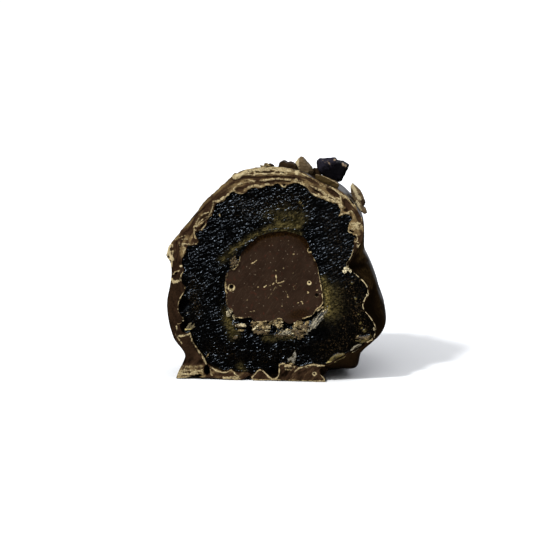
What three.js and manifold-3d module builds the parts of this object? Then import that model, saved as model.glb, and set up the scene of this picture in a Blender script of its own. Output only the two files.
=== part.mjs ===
// Half of a filled date in a dark chocolate coat, cut straight across. The cut shows the ganache centre, the
// soft date round it and the broken edge of the coat, which stands on a foot and carries cocoa nibs.
// Millimetres, +Z up. The cut faces -Y, the date's axis runs along Y above the origin, and the table is at z 0.
import * as THREE from "three";
import { mergeVertices } from "three/addons/utils/BufferGeometryUtils.js";
import Module from "manifold-3d";

// Driving dimensions
const COAT_LENGTH = 23.5; // from the cut to the rounded end
const AXIS_HEIGHT = 14.65; // the date's axis above the table
const END_HEIGHT = 9.5; // where the rounded end closes
const COAT_WALL = 1.6; // thinnest coat behind the cut
const END_WALL = 2.2; // coat at the rounded end
const FLESH_RADIUS = 12.2; // the date behind the cut
const FILLING_LENGTH = 16.5;
const FILLING_RECESS = 0.45; // the filling sits this far behind the cut
const FIT_GAP = 0.25; // between one layer and the next
const EDGE_DEPTH = 6; // over this depth the broken edge turns into the plain body

// Outlines at the cut and of the coat behind it, as [degrees anticlockwise from +X, radius], seen from the
// front and about the date's axis. Radii that reach below the table are flattened onto it.
const COAT_EDGE = [
  [7, 10.2], // chipped side, where the coat is thin
  [19, 11.9],
  [25, 13.7],
  [35, 14.6],
  [49, 15.0],
  [65, 14.6],
  [78, 15.1],
  [99, 15.3],
  [109, 15.3],
  [120, 14.7],
  [132, 14.2],
  [145, 14.1],
  [156, 14.7],
  [166, 15.5], // knob on the left
  [173, 14.6],
  [180, 14.4],
  [194, 15.6],
  [209, 16.6],
  [219, 16.8], // waist above the foot
  [222, 17.1],
  [227, 20.6], // left corner of the foot
  [270, 17.0],
  [295, 16.6], // right corner of the foot
  [298, 13.9], // undercut beside the foot
  [318, 14.6],
  [329, 16.0], // lobe low on the right
  [334, 15.4],
  [341, 12.9],
  [352, 13.0],
];
const COAT_BODY = [
  [14, 12.7],
  [20, 12.9],
  [34, 14.3],
  [49, 15.0],
  [57, 15.1],
  [73, 14.6],
  [90, 14.5],
  [125, 14.2],
  [160, 14.6],
  [190, 15.1],
  [210, 16.0],
  [219, 16.3],
  [227, 19.8],
  [270, 17.0],
  [292, 15.6],
  [302, 16.3],
  [309, 17.4], // flared lower edge on the right
  [316, 16.3],
  [333, 17.0],
  [342, 16.0],
  [352, 14.3],
];
const FLESH_EDGE = [
  [5, 10.5],
  [17, 10.9],
  [24, 12.2],
  [37, 13.2],
  [43, 12.7],
  [50, 13.4],
  [66, 12.3],
  [90, 12.5],
  [112, 12.6],
  [134, 12.4],
  [152, 12.1],
  [166, 13.0],
  [184, 12.9],
  [198, 13.9],
  [207, 13.6],
  [228, 15.2],
  [240, 14.4],
  [256, 14.0],
  [262, 12.9], // hump in the foot
  [268, 13.7],
  [274, 12.2],
  [294, 13.0],
  [318, 14.0],
  [328, 15.5],
  [333, 14.9],
  [340, 12.5],
  [352, 12.4],
];
const FILLING_EDGE = [
  [0, 6.5],
  [48, 6.7],
  [90, 6.1],
  [137, 6.5],
  [180, 6.7],
  [205, 7.0],
  [225, 7.7],
  [262, 6.0],
  [305, 6.4],
  [326, 7.1],
];

// How full each direction stays towards the rounded end: the powers of a superellipse
const SIDE_FULLNESS = 2.5;
const TOP_FULLNESS = 2.3;
const BASE_FULLNESS = 5;
const FLESH_FULLNESS = 2.4;
const FILLING_FULLNESS = 3;

// Relief of the cut
const FLAKED_ARC = [18, 176]; // degrees over which the coat has flaked into layers
const FLAKED_FADE = 12; // degrees over which the layers run out
const LAYER_DEPTH = 0.28; // ridges of the flaked coat
const LAYER_COUNT = 1.6;
const LAYER_WOBBLE = 0.8; // how far a layer wanders, in radians of its ridge
const EDGE_CRAG = 0.11; // ragged edge of the coat
const FLESH_CRAG = 0.22; // lumps of the flesh
const CRAG_TURNS = [17, 11]; // lumps in a turn round the axis, of the two waves that make them uneven
const CRAG_SLANT = [2.1, -1.3];
const EDGE_CRAG_RATE = 3; // how quickly the lumps change across the coat's edge
const FLESH_CRAG_RATE = 7; // and across the flesh
const HOLLOW_DEPTH = 0.8; // how far the flesh falls away round the filling
const HOLLOW_START = 0.55; // share of the way to the filling where it starts to fall
const NOTCH = { x: -3.6, width: 0.7, height: 0.9, depth: 3 }; // gap under the foot

// Soft waves of the coat behind its edge
const COAT_WAVE = 0.18;
const WAVE_TURNS = [5, 2];
const WAVE_SLANT = [0.55, -0.3]; // radians of wave in a millimetre of depth

// Points in each ring, and rings along each surface
const TURN_STEPS = 120;
const FILLING_STEPS = 60;
const OUTSIDE_RINGS = 12;
const WALL_RINGS = 5;
const PLUG_RINGS = 6;
const FACE_SHARES = [0, 0.2, 0.4, 0.6, 0.8, 1];
const PLUG_FACE_SHARES = [0, 0.35, 0.7];

// Cocoa nibs: degrees round the axis, depth behind the cut, [length, width, height], and the spin on the coat.
// A chunk is a blunt lump, a shard a pointed splinter and a curl a bent flake.
const NIBS = [
  { kind: "chunk", angle: 62.5, depth: 5.0, size: [4.4, 3.5, 3.7], spin: 5 },
  { kind: "shard", angle: 77.5, depth: 3.5, size: [2.6, 1.9, 2.3], spin: 20 },
  { kind: "chunk", angle: 70, depth: 5.0, size: [1.4, 1.2, 1.5], spin: 20 },
  { kind: "chunk", angle: 85, depth: 3.0, size: [2.6, 1.6, 1.3], spin: 0 },
  { kind: "shard", angle: 94, depth: 1.2, size: [1.8, 1.3, 0.9], spin: 10 },
  { kind: "curl", angle: 44.5, depth: 4.2, size: [3.8, 1.4, 1.7], spin: -10 },
  { kind: "chunk", angle: 36.5, depth: 4.4, size: [1.2, 1.1, 1.3], spin: 60 },
];
const HIDDEN_NIBS = 9; // more of the same towards the rounded end
const HIDDEN_ARC = [48, 125];
const HIDDEN_DEPTHS = [12, 19];
const HIDDEN_SIZE = [2.0, 1.6, 1.8];
const HIDDEN_SPREAD = [0.75, 1.55]; // smallest and largest, as a share of that size
const NIB_SINK = 0.12; // share of a nib's height that is set in the coat
const NIB_ROUGHNESS = [0.88, 1.12]; // how far its corners stand out, as a share of the plain shape
const GOLDEN_SHARE = 0.618;

const { lerp, smoothstep, degToRad, euclideanModulo } = THREE.MathUtils;

// The radius at an angle on a closed outline: a smooth curve through its stations.
function radiusAt(stations, degrees) {
  const angle = euclideanModulo(degrees, 360);
  const count = stations.length;
  const last = stations.findLastIndex(([at]) => at <= angle);
  const station = (index) => {
    const turns = Math.floor(index / count);
    const [at, radius] = stations[euclideanModulo(index, count)];
    return { at: at + 360 * turns, radius };
  };
  const [before, start, end, after] = [-1, 0, 1, 2].map((step) => station(last + step));
  const span = end.at - start.at;
  const share = (angle - start.at) / span;
  const leave = (span * (end.radius - before.radius)) / (end.at - before.at);
  const arrive = (span * (after.radius - start.radius)) / (after.at - start.at);
  const bend = share * share * (3 - 2 * share);
  return (
    lerp(start.radius, end.radius, bend) +
    leave * share * (1 - share) ** 2 -
    arrive * share ** 2 * (1 - share)
  );
}

// What is left of a width at a share of the length, where the end is rounded.
function fullness(share, power) {
  return (1 - Math.min(share, 1) ** power) ** (1 / power);
}

// A number from 0 to 1 that looks random but is the same for the same index and seed.
function scatter(index, seed) {
  const value = Math.sin(index * 12.9898 + seed * 78.233) * 43758.5453;
  return value - Math.floor(value);
}

// Uneven lumps, from -1 to 1, that close on themselves round the axis.
function crag(degrees, along) {
  const angle = degToRad(degrees);
  const [first, second] = CRAG_TURNS.map((turns, wave) => turns * angle + CRAG_SLANT[wave] * along);
  return Math.sin(first) * Math.cos(second);
}

// Height of the date's axis, which sinks towards the rounded end.
function axisAt(depth) {
  return lerp(AXIS_HEIGHT, END_HEIGHT, (depth / COAT_LENGTH) ** 2);
}

// Height of the foot's underside: the table, but for the notch that broke out of its front.
function undersideAt(x, depth) {
  const reach = Math.exp(-(((x - NOTCH.x) / NOTCH.width) ** 2));
  return NOTCH.height * reach * Math.max(0, 1 - depth / NOTCH.depth);
}

// A point on the outside of the coat.
function coatPoint(degrees, depth) {
  const angle = degToRad(degrees);
  const settled = smoothstep(depth, 0, EDGE_DEPTH);
  const [first, second] = WAVE_TURNS.map((turns, wave) => turns * angle + WAVE_SLANT[wave] * depth);
  const swell = COAT_WAVE * settled * Math.sin(first) * Math.cos(second);
  const radius = lerp(radiusAt(COAT_EDGE, degrees), radiusAt(COAT_BODY, degrees), settled) + swell;
  const share = depth / COAT_LENGTH;
  const x = radius * Math.cos(angle) * fullness(share, SIDE_FULLNESS);
  const rise = AXIS_HEIGHT + radius * Math.sin(angle) - END_HEIGHT;
  const z = END_HEIGHT + rise * fullness(share, rise > 0 ? TOP_FULLNESS : BASE_FULLNESS);
  return new THREE.Vector3(x, depth, Math.max(z, undersideAt(x, depth)));
}

// A point on the wall between the coat and the flesh. A positive inset is further in.
function fleshPoint(degrees, depth, inset) {
  const angle = degToRad(degrees);
  const length = COAT_LENGTH - END_WALL - inset;
  const core = Math.min(FLESH_RADIUS, radiusAt(COAT_BODY, degrees) - COAT_WALL);
  const settled = smoothstep(depth, 0, EDGE_DEPTH);
  const radius = lerp(radiusAt(FLESH_EDGE, degrees), core, settled) - inset;
  const width = radius * fullness(depth / length, FLESH_FULLNESS);
  return new THREE.Vector3(width * Math.cos(angle), depth, axisAt(depth) + width * Math.sin(angle));
}

// A point on the wall between the flesh and the filling. A positive inset is further in.
function fillingPoint(degrees, depth, inset) {
  const angle = degToRad(degrees);
  const share = depth / (FILLING_LENGTH - inset);
  const radius = (radiusAt(FILLING_EDGE, degrees) - inset) * fullness(share, FILLING_FULLNESS);
  return new THREE.Vector3(radius * Math.cos(angle), depth, axisAt(depth) + radius * Math.sin(angle));
}

// Depth of the coat's broken edge at a share of the way from its outside to the flesh.
function coatRelief(degrees, share) {
  const [from, to] = FLAKED_ARC;
  const fadeIn = smoothstep(degrees, from, from + FLAKED_FADE);
  const fadeOut = 1 - smoothstep(degrees, to - FLAKED_FADE, to);
  const layers = Math.cos(2 * Math.PI * LAYER_COUNT * share + LAYER_WOBBLE * crag(degrees, 0));
  return fadeIn * fadeOut * LAYER_DEPTH * layers + EDGE_CRAG * crag(degrees, EDGE_CRAG_RATE * share);
}

// Depth of the cut flesh at a share of the way from the coat to the filling.
function fleshRelief(degrees, share) {
  const hollow = HOLLOW_DEPTH * smoothstep(share, HOLLOW_START, 1);
  return hollow + FLESH_CRAG * crag(degrees, FLESH_CRAG_RATE * share);
}

// One ring of points round the axis, from a function of the angle.
function ring(steps, pointAt) {
  return Array.from({ length: steps }, (_, step) => pointAt((360 * step) / steps));
}

// Shares from 0 to below 1 that crowd towards 1, where an end rounds off.
function roundedShares(count) {
  return Array.from({ length: count }, (_, step) => Math.sin(((step + 1) / (count + 1)) * (Math.PI / 2)));
}

// A closed skin over rings of equal count, with a point at each end.
function skin(startPoint, rings, endPoint) {
  const steps = rings[0].length;
  const points = [startPoint, ...rings.flat(), endPoint];
  const at = (row, step) => 1 + row * steps + (step % steps);
  const endIndex = points.length - 1;
  const faces = [];
  for (let step = 0; step < steps; step += 1) {
    faces.push(0, at(0, step + 1), at(0, step));
    for (let row = 0; row + 1 < rings.length; row += 1) {
      faces.push(at(row, step), at(row, step + 1), at(row + 1, step + 1));
      faces.push(at(row, step), at(row + 1, step + 1), at(row + 1, step));
    }
    faces.push(at(rings.length - 1, step), at(rings.length - 1, step + 1), endIndex);
  }
  return new THREE.BufferGeometry().setFromPoints(points).setIndex(faces);
}

// Coat: its outside from the rounded end to the cut, the broken edge, and the wall round the flesh.
function coatShell() {
  const outsideDepths = roundedShares(OUTSIDE_RINGS).map((share) => share * COAT_LENGTH);
  const outside = outsideDepths.reverse().map((depth) => ring(TURN_STEPS, (angle) => coatPoint(angle, depth)));
  const edge = FACE_SHARES.map((share) =>
    ring(TURN_STEPS, (angle) => {
      const point = coatPoint(angle, 0).lerp(fleshPoint(angle, 0, 0), share);
      return point.setY(coatRelief(angle, share));
    }),
  );
  const wallLength = COAT_LENGTH - END_WALL;
  const wallDepths = roundedShares(WALL_RINGS).map((share) => share * wallLength);
  const wall = wallDepths.map((depth) => ring(TURN_STEPS, (angle) => fleshPoint(angle, depth, 0)));
  const outerEnd = new THREE.Vector3(0, COAT_LENGTH, END_HEIGHT);
  const innerEnd = new THREE.Vector3(0, wallLength, fleshPoint(0, wallLength, 0).z);
  return skin(outerEnd, [...outside, ...edge, ...wall], innerEnd);
}

// Flesh: the wall against the coat, the cut face, and the hollow that holds the filling.
function fleshBody() {
  const wallLength = COAT_LENGTH - END_WALL - FIT_GAP;
  const wallDepths = roundedShares(WALL_RINGS).map((share) => share * wallLength);
  const wallRing = (depth) => ring(TURN_STEPS, (angle) => fleshPoint(angle, depth, FIT_GAP));
  const wall = wallDepths.reverse().map(wallRing);
  const face = FACE_SHARES.map((share) =>
    ring(TURN_STEPS, (angle) => {
      const point = fleshPoint(angle, 0, FIT_GAP).lerp(fillingPoint(angle, 0, -FIT_GAP), share);
      return point.setY(fleshRelief(angle, share));
    }),
  );
  const hollowLength = FILLING_LENGTH + FIT_GAP;
  const hollowDepths = roundedShares(WALL_RINGS).map((share) => share * hollowLength);
  const hollow = hollowDepths.map((depth) => ring(TURN_STEPS, (angle) => fillingPoint(angle, depth, -FIT_GAP)));
  const outerEnd = new THREE.Vector3(0, wallLength, fleshPoint(0, wallLength, FIT_GAP).z);
  const innerEnd = new THREE.Vector3(0, hollowLength, fillingPoint(0, hollowLength, -FIT_GAP).z);
  return skin(outerEnd, [...wall, ...face, ...hollow], innerEnd);
}

// Filling: a plug with a flat cut face.
function fillingPlug() {
  const sideDepths = roundedShares(PLUG_RINGS).map((share) => share * FILLING_LENGTH);
  const sideRing = (depth) => ring(FILLING_STEPS, (angle) => fillingPoint(angle, depth, 0));
  const side = sideDepths.reverse().map(sideRing);
  const centre = new THREE.Vector3(0, FILLING_RECESS, AXIS_HEIGHT);
  const face = PLUG_FACE_SHARES.map((share) =>
    ring(FILLING_STEPS, (angle) => fillingPoint(angle, 0, 0).setY(FILLING_RECESS).lerp(centre, share)),
  );
  const end = new THREE.Vector3(0, FILLING_LENGTH, fillingPoint(0, FILLING_LENGTH, 0).z);
  return skin(end, [...side, ...face], centre);
}

// Every nib, with the hidden ones spread by the golden ratio so that none line up.
function allNibs() {
  const hidden = Array.from({ length: HIDDEN_NIBS }, (_, index) => ({
    kind: index % 3 === 1 ? "shard" : "chunk",
    angle: lerp(...HIDDEN_ARC, (index * GOLDEN_SHARE) % 1),
    depth: lerp(...HIDDEN_DEPTHS, index / (HIDDEN_NIBS - 1)),
    size: HIDDEN_SIZE.map((length, axis) => length * lerp(...HIDDEN_SPREAD, scatter(index, axis + 3))),
    spin: 360 * scatter(index, 9),
  }));
  return [...NIBS, ...hidden];
}

// A bent flake: the space between an arch and a flatter arch under it.
function curlGeometry() {
  const outline = new THREE.Shape().absarc(0, 0, 0.5, 0, Math.PI).quadraticCurveTo(0, 0.45, 0.5, 0);
  const flake = new THREE.ExtrudeGeometry(outline, { depth: 1, curveSegments: 6, bevelEnabled: false });
  return flake.translate(0, -0.25, -0.5).scale(1, 2, 1).rotateX(Math.PI / 2);
}

// A nib's unit shape, by kind.
const NIB_SHAPES = {
  chunk: () => new THREE.DodecahedronGeometry(0.5),
  shard: () => new THREE.OctahedronGeometry(0.55),
  curl: curlGeometry,
};

// One nib, broken and angular, set into the coat and standing along its surface normal.
function nibGeometry(nib, seed) {
  const corner = new THREE.Vector3();
  const merged = mergeVertices(NIB_SHAPES[nib.kind]().deleteAttribute("normal").deleteAttribute("uv"));
  const places = merged.getAttribute("position");
  for (let index = 0; index < places.count; index += 1) {
    corner.fromBufferAttribute(places, index).multiplyScalar(lerp(...NIB_ROUGHNESS, scatter(index, seed)));
    places.setXYZ(index, ...corner);
  }
  const foot = coatPoint(nib.angle, nib.depth);
  const alongTurn = coatPoint(nib.angle + 1, nib.depth).sub(coatPoint(nib.angle - 1, nib.depth));
  const alongDepth = coatPoint(nib.angle, nib.depth + 0.3).sub(coatPoint(nib.angle, nib.depth - 0.3));
  const normal = alongDepth.cross(alongTurn).normalize();
  const upright = new THREE.Quaternion().setFromUnitVectors(new THREE.Vector3(0, 0, 1), normal);
  const spin = new THREE.Quaternion().setFromAxisAngle(new THREE.Vector3(0, 0, 1), degToRad(nib.spin));
  const place = foot.addScaledVector(normal, nib.size[2] * (0.5 - NIB_SINK));
  return merged.applyMatrix4(
    new THREE.Matrix4().compose(place, upright.multiply(spin), new THREE.Vector3(...nib.size)),
  );
}

const wasm = await Module();
wasm.setup();

function solidOf(geometry) {
  const vertProperties = geometry.getAttribute("position").array;
  const triVerts = new Uint32Array(geometry.index.array);
  return new wasm.Manifold(new wasm.Mesh({ numProp: 3, vertProperties, triVerts }));
}

function geometryOf(solid) {
  const { vertProperties, triVerts } = solid.getMesh();
  return new THREE.BufferGeometry()
    .setAttribute("position", new THREE.BufferAttribute(vertProperties, 3))
    .setIndex(new THREE.BufferAttribute(triVerts, 1));
}

// The coat with its nibs fused on.
function coatWithNibs() {
  const nibs = allNibs().map((nib, index) => solidOf(nibGeometry(nib, index)));
  return geometryOf(nibs.reduce((coat, nib) => coat.add(nib), solidOf(coatShell())));
}

const chocolate = new THREE.MeshStandardMaterial({ color: 0x2a1a0f, roughness: 0.35, metalness: 0 });
const dateFlesh = new THREE.MeshStandardMaterial({ color: 0x15110c, roughness: 0.4, metalness: 0 });
const ganache = new THREE.MeshStandardMaterial({ color: 0x34261d, roughness: 0.6, metalness: 0 });

const pieces = [
  ["chocolate_coat", coatWithNibs(), chocolate],
  ["date_flesh", fleshBody(), dateFlesh],
  ["ganache_filling", fillingPlug(), ganache],
];

const chocolateDate = new THREE.Group();
chocolateDate.position.y = -COAT_LENGTH / 2;
for (const [name, geometry, material] of pieces) {
  geometry.computeVertexNormals();
  const mesh = new THREE.Mesh(geometry, material);
  mesh.name = name;
  chocolateDate.add(mesh);
}

export default chocolateDate;
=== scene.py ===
# Half of a filled date in a dark chocolate coat, cut across: the coat with its flaked edge and its foot,
# cocoa nibs, moist date flesh, the ganache centre with crumbs under it, and slivers of date skin. Pieces
# are modelled in millimetres, x to the right, y behind the cut and z above the table, then set in the
# frame. Places on the cut are given as millimetres to the right of the date's axis and above it.
import math

import bpy
import numpy as np
from mathutils import Matrix, Vector


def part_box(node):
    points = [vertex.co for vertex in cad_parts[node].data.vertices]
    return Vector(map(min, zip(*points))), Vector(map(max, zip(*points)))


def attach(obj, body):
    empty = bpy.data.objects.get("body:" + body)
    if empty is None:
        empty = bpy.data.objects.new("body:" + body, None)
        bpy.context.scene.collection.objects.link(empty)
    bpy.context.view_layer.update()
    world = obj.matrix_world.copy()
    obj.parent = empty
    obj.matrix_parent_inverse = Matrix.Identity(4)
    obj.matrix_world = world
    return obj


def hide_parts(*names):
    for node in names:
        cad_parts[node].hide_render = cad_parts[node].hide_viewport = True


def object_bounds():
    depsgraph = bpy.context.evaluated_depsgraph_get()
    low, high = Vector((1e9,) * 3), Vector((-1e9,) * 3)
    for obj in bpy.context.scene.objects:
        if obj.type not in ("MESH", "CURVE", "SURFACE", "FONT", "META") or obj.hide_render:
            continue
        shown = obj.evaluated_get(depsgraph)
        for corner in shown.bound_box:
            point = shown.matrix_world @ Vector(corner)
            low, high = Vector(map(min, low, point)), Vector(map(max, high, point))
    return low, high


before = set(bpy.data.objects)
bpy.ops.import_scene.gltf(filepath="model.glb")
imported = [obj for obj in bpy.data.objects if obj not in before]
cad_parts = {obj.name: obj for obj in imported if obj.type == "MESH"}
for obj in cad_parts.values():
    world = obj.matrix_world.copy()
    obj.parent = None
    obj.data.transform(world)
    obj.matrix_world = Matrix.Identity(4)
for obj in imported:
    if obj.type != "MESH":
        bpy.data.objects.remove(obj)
cad_low, cad_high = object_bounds()

# Sizes of the date, in millimetres
MM = 0.001
COAT_LENGTH = 23.5
AXIS_HEIGHT = 14.65  # of the date's axis at the cut
END_HEIGHT = 9.5  # of the rounded end's tip
COAT_WALL = 1.6
END_WALL = 2.2
FLESH_RADIUS = 12.2
FLESH_LENGTH = COAT_LENGTH - END_WALL
FILLING_LENGTH = 16.5
# How far behind the cut the flesh's face, its hollow and its wall begin, and the filling's face
FLESH_RECESS, HOLLOW_START, WALL_START = 0.1, 0.8, 0.9
FILLING_RECESS, FILLING_START = 0.35, 0.3  # and how far behind its face the filling's side begins
FILLING_OVERLAP = 0.03  # how far the filling reaches into the flesh, so that no gap shows
EDGE_DEPTH = 6.0  # behind the cut, where the broken edge has become the smooth body
THIN_EDGE = 0.2  # the coat where it is thinnest at the cut
SIDE_FULLNESS, TOP_FULLNESS, BASE_FULLNESS = 2.5, 2.3, 5.0
FLESH_FULLNESS, FILLING_FULLNESS = 2.4, 3.0
COAT_WAVE, COAT_DIMPLE = 0.18, 0.13  # swells and dimples of the skin behind the edge
FLESH_TEETH, COAT_TEETH = 0.085, 0.12
TEETH_RADIUS, SKIN_RADIUS = 12, 14  # where the lumps of the flesh's edge and of the coat's skin are taken
FLAKED_ARC = (20, 30, 168, 176)  # degrees where the coat's edge starts to be flaked, is, thins and ends
NOTCH_X, NOTCH_WIDTH, NOTCH_HEIGHT, NOTCH_DEPTH = -3.8, 0.45, 1.0, 3.0
# How far the foot's broken edge is off the table: millimetres to the right, and above it
FOOT_RISE = (
    (-14, 0.1), (-12.3, 0.25), (-11.4, 0.5), (-10.3, 0.3), (-8.3, 0.32), (-7.3, 0.12), (-6.6, 0),
    (-3.2, 0), (0, 0.14), (7.2, 0),
)
FOOT_RISE_DEPTH, FOOT_TEETH = 1.5, 0.05
FOOT_BITE, FOOT_BITE_HIGH, FOOT_BITE_HALF = 0.65, -13.25, 0.5  # bitten out of the foot's right end
FOOT_BITE_ARC = (270, 312)  # degrees between which it is bitten
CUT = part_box("chocolate_coat")[1][1] - COAT_LENGTH * MM
AXIS_POINT = Vector((0, CUT, AXIS_HEIGHT * MM))

# The coat's outline at the cut and behind it: degrees anticlockwise from +X as seen facing the cut, and
# the radius
COAT_EDGE = (
    (7, 10.2), (19, 11.9), (25, 13.3), (35, 14.5), (49, 15.0), (65, 14.6), (78, 15.1), (99, 15.3),
    (109, 15.3), (119, 14.6), (123, 14.4), (129, 14.2), (135, 14.2), (140, 14.0), (145, 13.9),
    (152, 14.3), (157, 14.6), (163, 15.2), (166, 15.4), (170, 15.2), (173, 14.6), (180, 14.4),
    (187, 14.8), (194, 15.5), (204, 16.2), (209, 16.5), (213, 16.7), (219, 16.65), (222, 16.9),
    (223.5, 17.5), (225, 19.0), (227, 20.2), (270, 17.0), (295, 16.6), (298, 13.9), (318, 14.6),
    (329, 16.0), (334, 15.4), (341, 12.9), (352, 13.0),
)
COAT_BODY = (
    (14, 12.7), (20, 12.9), (34, 14.3), (49, 15.0), (57, 15.1), (73, 14.6), (90, 14.5), (125, 14.2),
    (160, 14.6), (190, 15.1), (210, 16.0), (219, 16.3), (227, 19.8), (270, 17.0), (292, 15.6),
    (302, 16.3), (309, 17.4), (316, 16.3), (333, 17.0), (342, 16.0), (352, 14.3),
)
# Where the flesh ends at the cut, and the filling
FLESH_OUTLINE = (
    (11.49, 0.16), (10.96, 0.68), (10.5, 1.1), (9.95, 1.35), (9.8, 1.9), (9.9, 2.3), (10.1, 2.5),
    (10.45, 3.1), (10.6, 3.6), (10.8, 4.34), (10.9, 4.7), (10.8, 5.1), (10.95, 5.5), (10.94, 5.87),
    (10.6, 6.28), (10.18, 6.28), (9.95, 6.55), (10.04, 6.97), (10.18, 7.6), (10.52, 8.17), (10.6, 8.52),
    (10.1, 8.82), (9.62, 8.91), (9.1, 8.7), (8.75, 8.6), (8.9, 9.0), (9.0, 9.3), (8.93, 9.66),
    (8.45, 10.28), (8.03, 10.45), (7.2, 10.6), (6.72, 10.87), (6.02, 11.0), (5.26, 11.4), (4.8, 11.8),
    (4.5, 12.3), (4.1, 12.55), (3.6, 12.8), (3.3, 13.1), (2.8, 13.1), (2.2, 12.95), (1.7, 12.7),
    (1.25, 12.4), (0.9, 12.6), (0.4, 13.1), (0.1, 12.9), (-0.2, 12.7), (-0.6, 12.65), (-1.2, 12.7),
    (-1.6, 12.45), (-2.0, 12.3), (-2.7, 12.35), (-3.3, 12.3), (-3.7, 12.15), (-4.02, 11.7),
    (-4.34, 11.48), (-4.97, 11.47), (-5.4, 11.6), (-5.75, 11.74), (-6.16, 11.51), (-6.6, 11.09),
    (-6.8, 10.8), (-7.1, 10.47), (-7.67, 10.2), (-8.1, 10.14), (-8.36, 9.68), (-8.55, 8.98), (-8.8, 8.4),
    (-9.03, 8.08), (-9.3, 7.76), (-9.4, 7.3), (-9.75, 6.68), (-10.06, 6.29), (-10.5, 6.2), (-11.0, 6.02),
    (-11.07, 5.75), (-11.0, 5.4), (-10.7, 5.0), (-10.63, 4.57), (-10.9, 4.3), (-11.5, 4.22),
    (-12.14, 4.2), (-12.26, 3.76), (-12.4, 3.2), (-12.64, 2.68), (-12.9, 2.3), (-12.95, 1.8),
    (-12.83, 1.22), (-12.6, 0.78), (-12.7, 0.46), (-12.95, -0.1), (-13.0, -0.6), (-12.9, -1.2),
    (-12.5, -1.56), (-12.42, -2.0), (-12.7, -2.5), (-13.05, -3.1), (-13.3, -3.65), (-13.45, -4.5),
    (-13.38, -5.2), (-13.07, -5.75), (-12.75, -6.05), (-13.2, -6.7), (-13.3, -7.3), (-12.9, -8.1),
    (-12.2, -8.15), (-11.8, -8.05), (-11.6, -8.7), (-11.46, -9.2), (-11.15, -9.75), (-10.77, -10.3),
    (-10.3, -10.95), (-9.92, -11.55), (-9.7, -11.95), (-9.54, -12.4), (-9.1, -12.7), (-8.6, -12.95),
    (-8.0, -13.25), (-7.23, -13.45), (-6.6, -13.35), (-6.1, -13.1), (-5.6, -13.5), (-5.0, -13.6),
    (-4.4, -13.55), (-3.9, -13.5), (-3.5, -13.7), (-3.1, -13.95), (-2.78, -13.6), (-2.45, -13.2),
    (-2.13, -12.95), (-1.64, -13.1), (-1.3, -13.5), (-0.9, -13.9), (-0.5, -14.2), (0.0, -14.25),
    (0.3, -14.0), (0.47, -13.6), (0.5, -12.9), (0.55, -12.2), (1.1, -12.0), (2.2, -12.3), (2.8, -12.35),
    (3.3, -12.65), (3.9, -12.42), (4.9, -12.15), (5.4, -12.1), (6.3, -12.2), (7.0, -12.2), (7.4, -12.05),
    (8.5, -11.35), (9.88, -10.6), (11.03, -9.88), (12.06, -9.4), (12.6, -8.85), (13.2, -8.6),
    (13.6, -8.1), (13.78, -7.55), (13.88, -7.0), (13.78, -6.57), (13.5, -6.04), (13.09, -5.4),
    (12.55, -4.77), (12.13, -4.24), (12.02, -3.7), (12.18, -3.17), (12.45, -2.62), (12.82, -2.18),
    (12.71, -1.33), (12.45, -0.79), (12.02, -0.32),
)
FILLING_OUTLINE = (
    (6.2, -0.35), (6.05, 0.5), (5.95, 1.0), (5.8, 1.8), (5.4, 2.6), (5.1, 3.2), (4.9, 3.9), (4.6, 4.6),
    (4.3, 5.2), (3.8, 5.7), (2.92, 6.03), (1.88, 6.28), (0.76, 6.34), (-0.1, 6.24), (-0.97, 6.05),
    (-2.26, 5.6), (-3.04, 4.97), (-3.9, 4.18), (-4.6, 3.3), (-4.95, 2.6), (-5.03, 2.06), (-5.4, 1.36),
    (-5.8, 0.95), (-6.4, 0.8), (-6.76, 0.4), (-6.9, -0.12), (-6.95, -1.0), (-6.93, -1.87), (-6.78, -2.74),
    (-6.85, -3.6), (-6.6, -4.3), (-6.07, -4.73), (-5.72, -5.33), (-5.5, -5.9), (-4.4, -5.9),
    (-3.4, -5.75), (-2.9, -6.2), (-2.35, -6.5), (-0.97, -6.3), (0.4, -5.95), (1.2, -6.2), (2.0, -6.6),
    (2.8, -6.3), (3.6, -5.95), (4.05, -5.76), (4.9, -5.5), (5.34, -5.1), (5.8, -4.4), (6.35, -4.05),
    (6.64, -3.4), (6.55, -2.5), (6.38, -1.2),
)


# Shaping by hand, on arrays of points

def smooth(value, low, high):
    """0 below low, 1 above high, with an easy bend between."""
    share = np.clip((value - low) / (high - low), 0, 1)
    return share * share * (3 - 2 * share)


def fade(value, low, high):
    """1 below low and 0 above high, in the same way."""
    return 1 - smooth(value, low, high)


def between(value, start, full, thin, end):
    """1 from full to thin, easing to 0 at the start and the end."""
    return smooth(value, start, full) * fade(value, thin, end)


def hump(value, middle, half):
    """1 in the middle, falling away on both sides."""
    return np.exp(-(((value - middle) / half) ** 2))


def lerp(start, end, share):
    return start + (end - start) * share


def radius_at(stations, degrees):
    """Radius of a closed outline at an array of angles: a smooth curve through its stations."""
    at, radius = np.array(stations, float).T
    at = np.concatenate((at[-2:] - 360, at, at[:2] + 360))
    radius = np.concatenate((radius[-2:], radius, radius[:2]))
    slope = np.zeros_like(radius)
    slope[1:-1] = (radius[2:] - radius[:-2]) / (at[2:] - at[:-2])
    turn = np.mod(degrees, 360)
    k = np.searchsorted(at, turn, side="right") - 1
    span = at[k + 1] - at[k]
    share = (turn - at[k]) / span
    bend = share * share * (3 - 2 * share)
    leave = span * slope[k] * share * (1 - share) ** 2
    arrive = span * slope[k + 1] * share**2 * (1 - share)
    return lerp(radius[k], radius[k + 1], bend) + leave - arrive


def broken_edge(points, degrees):
    """Radius of a broken outline at an array of angles: straight from point to point."""
    x, high = np.array(points).T
    return np.interp(degrees, np.degrees(np.arctan2(high, x)), np.hypot(x, high), period=360)


def fullness(share, power):
    """What is left of a width at a share of the length, where the end is rounded."""
    return (1 - np.minimum(share, 1) ** power) ** (1 / power)


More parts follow.
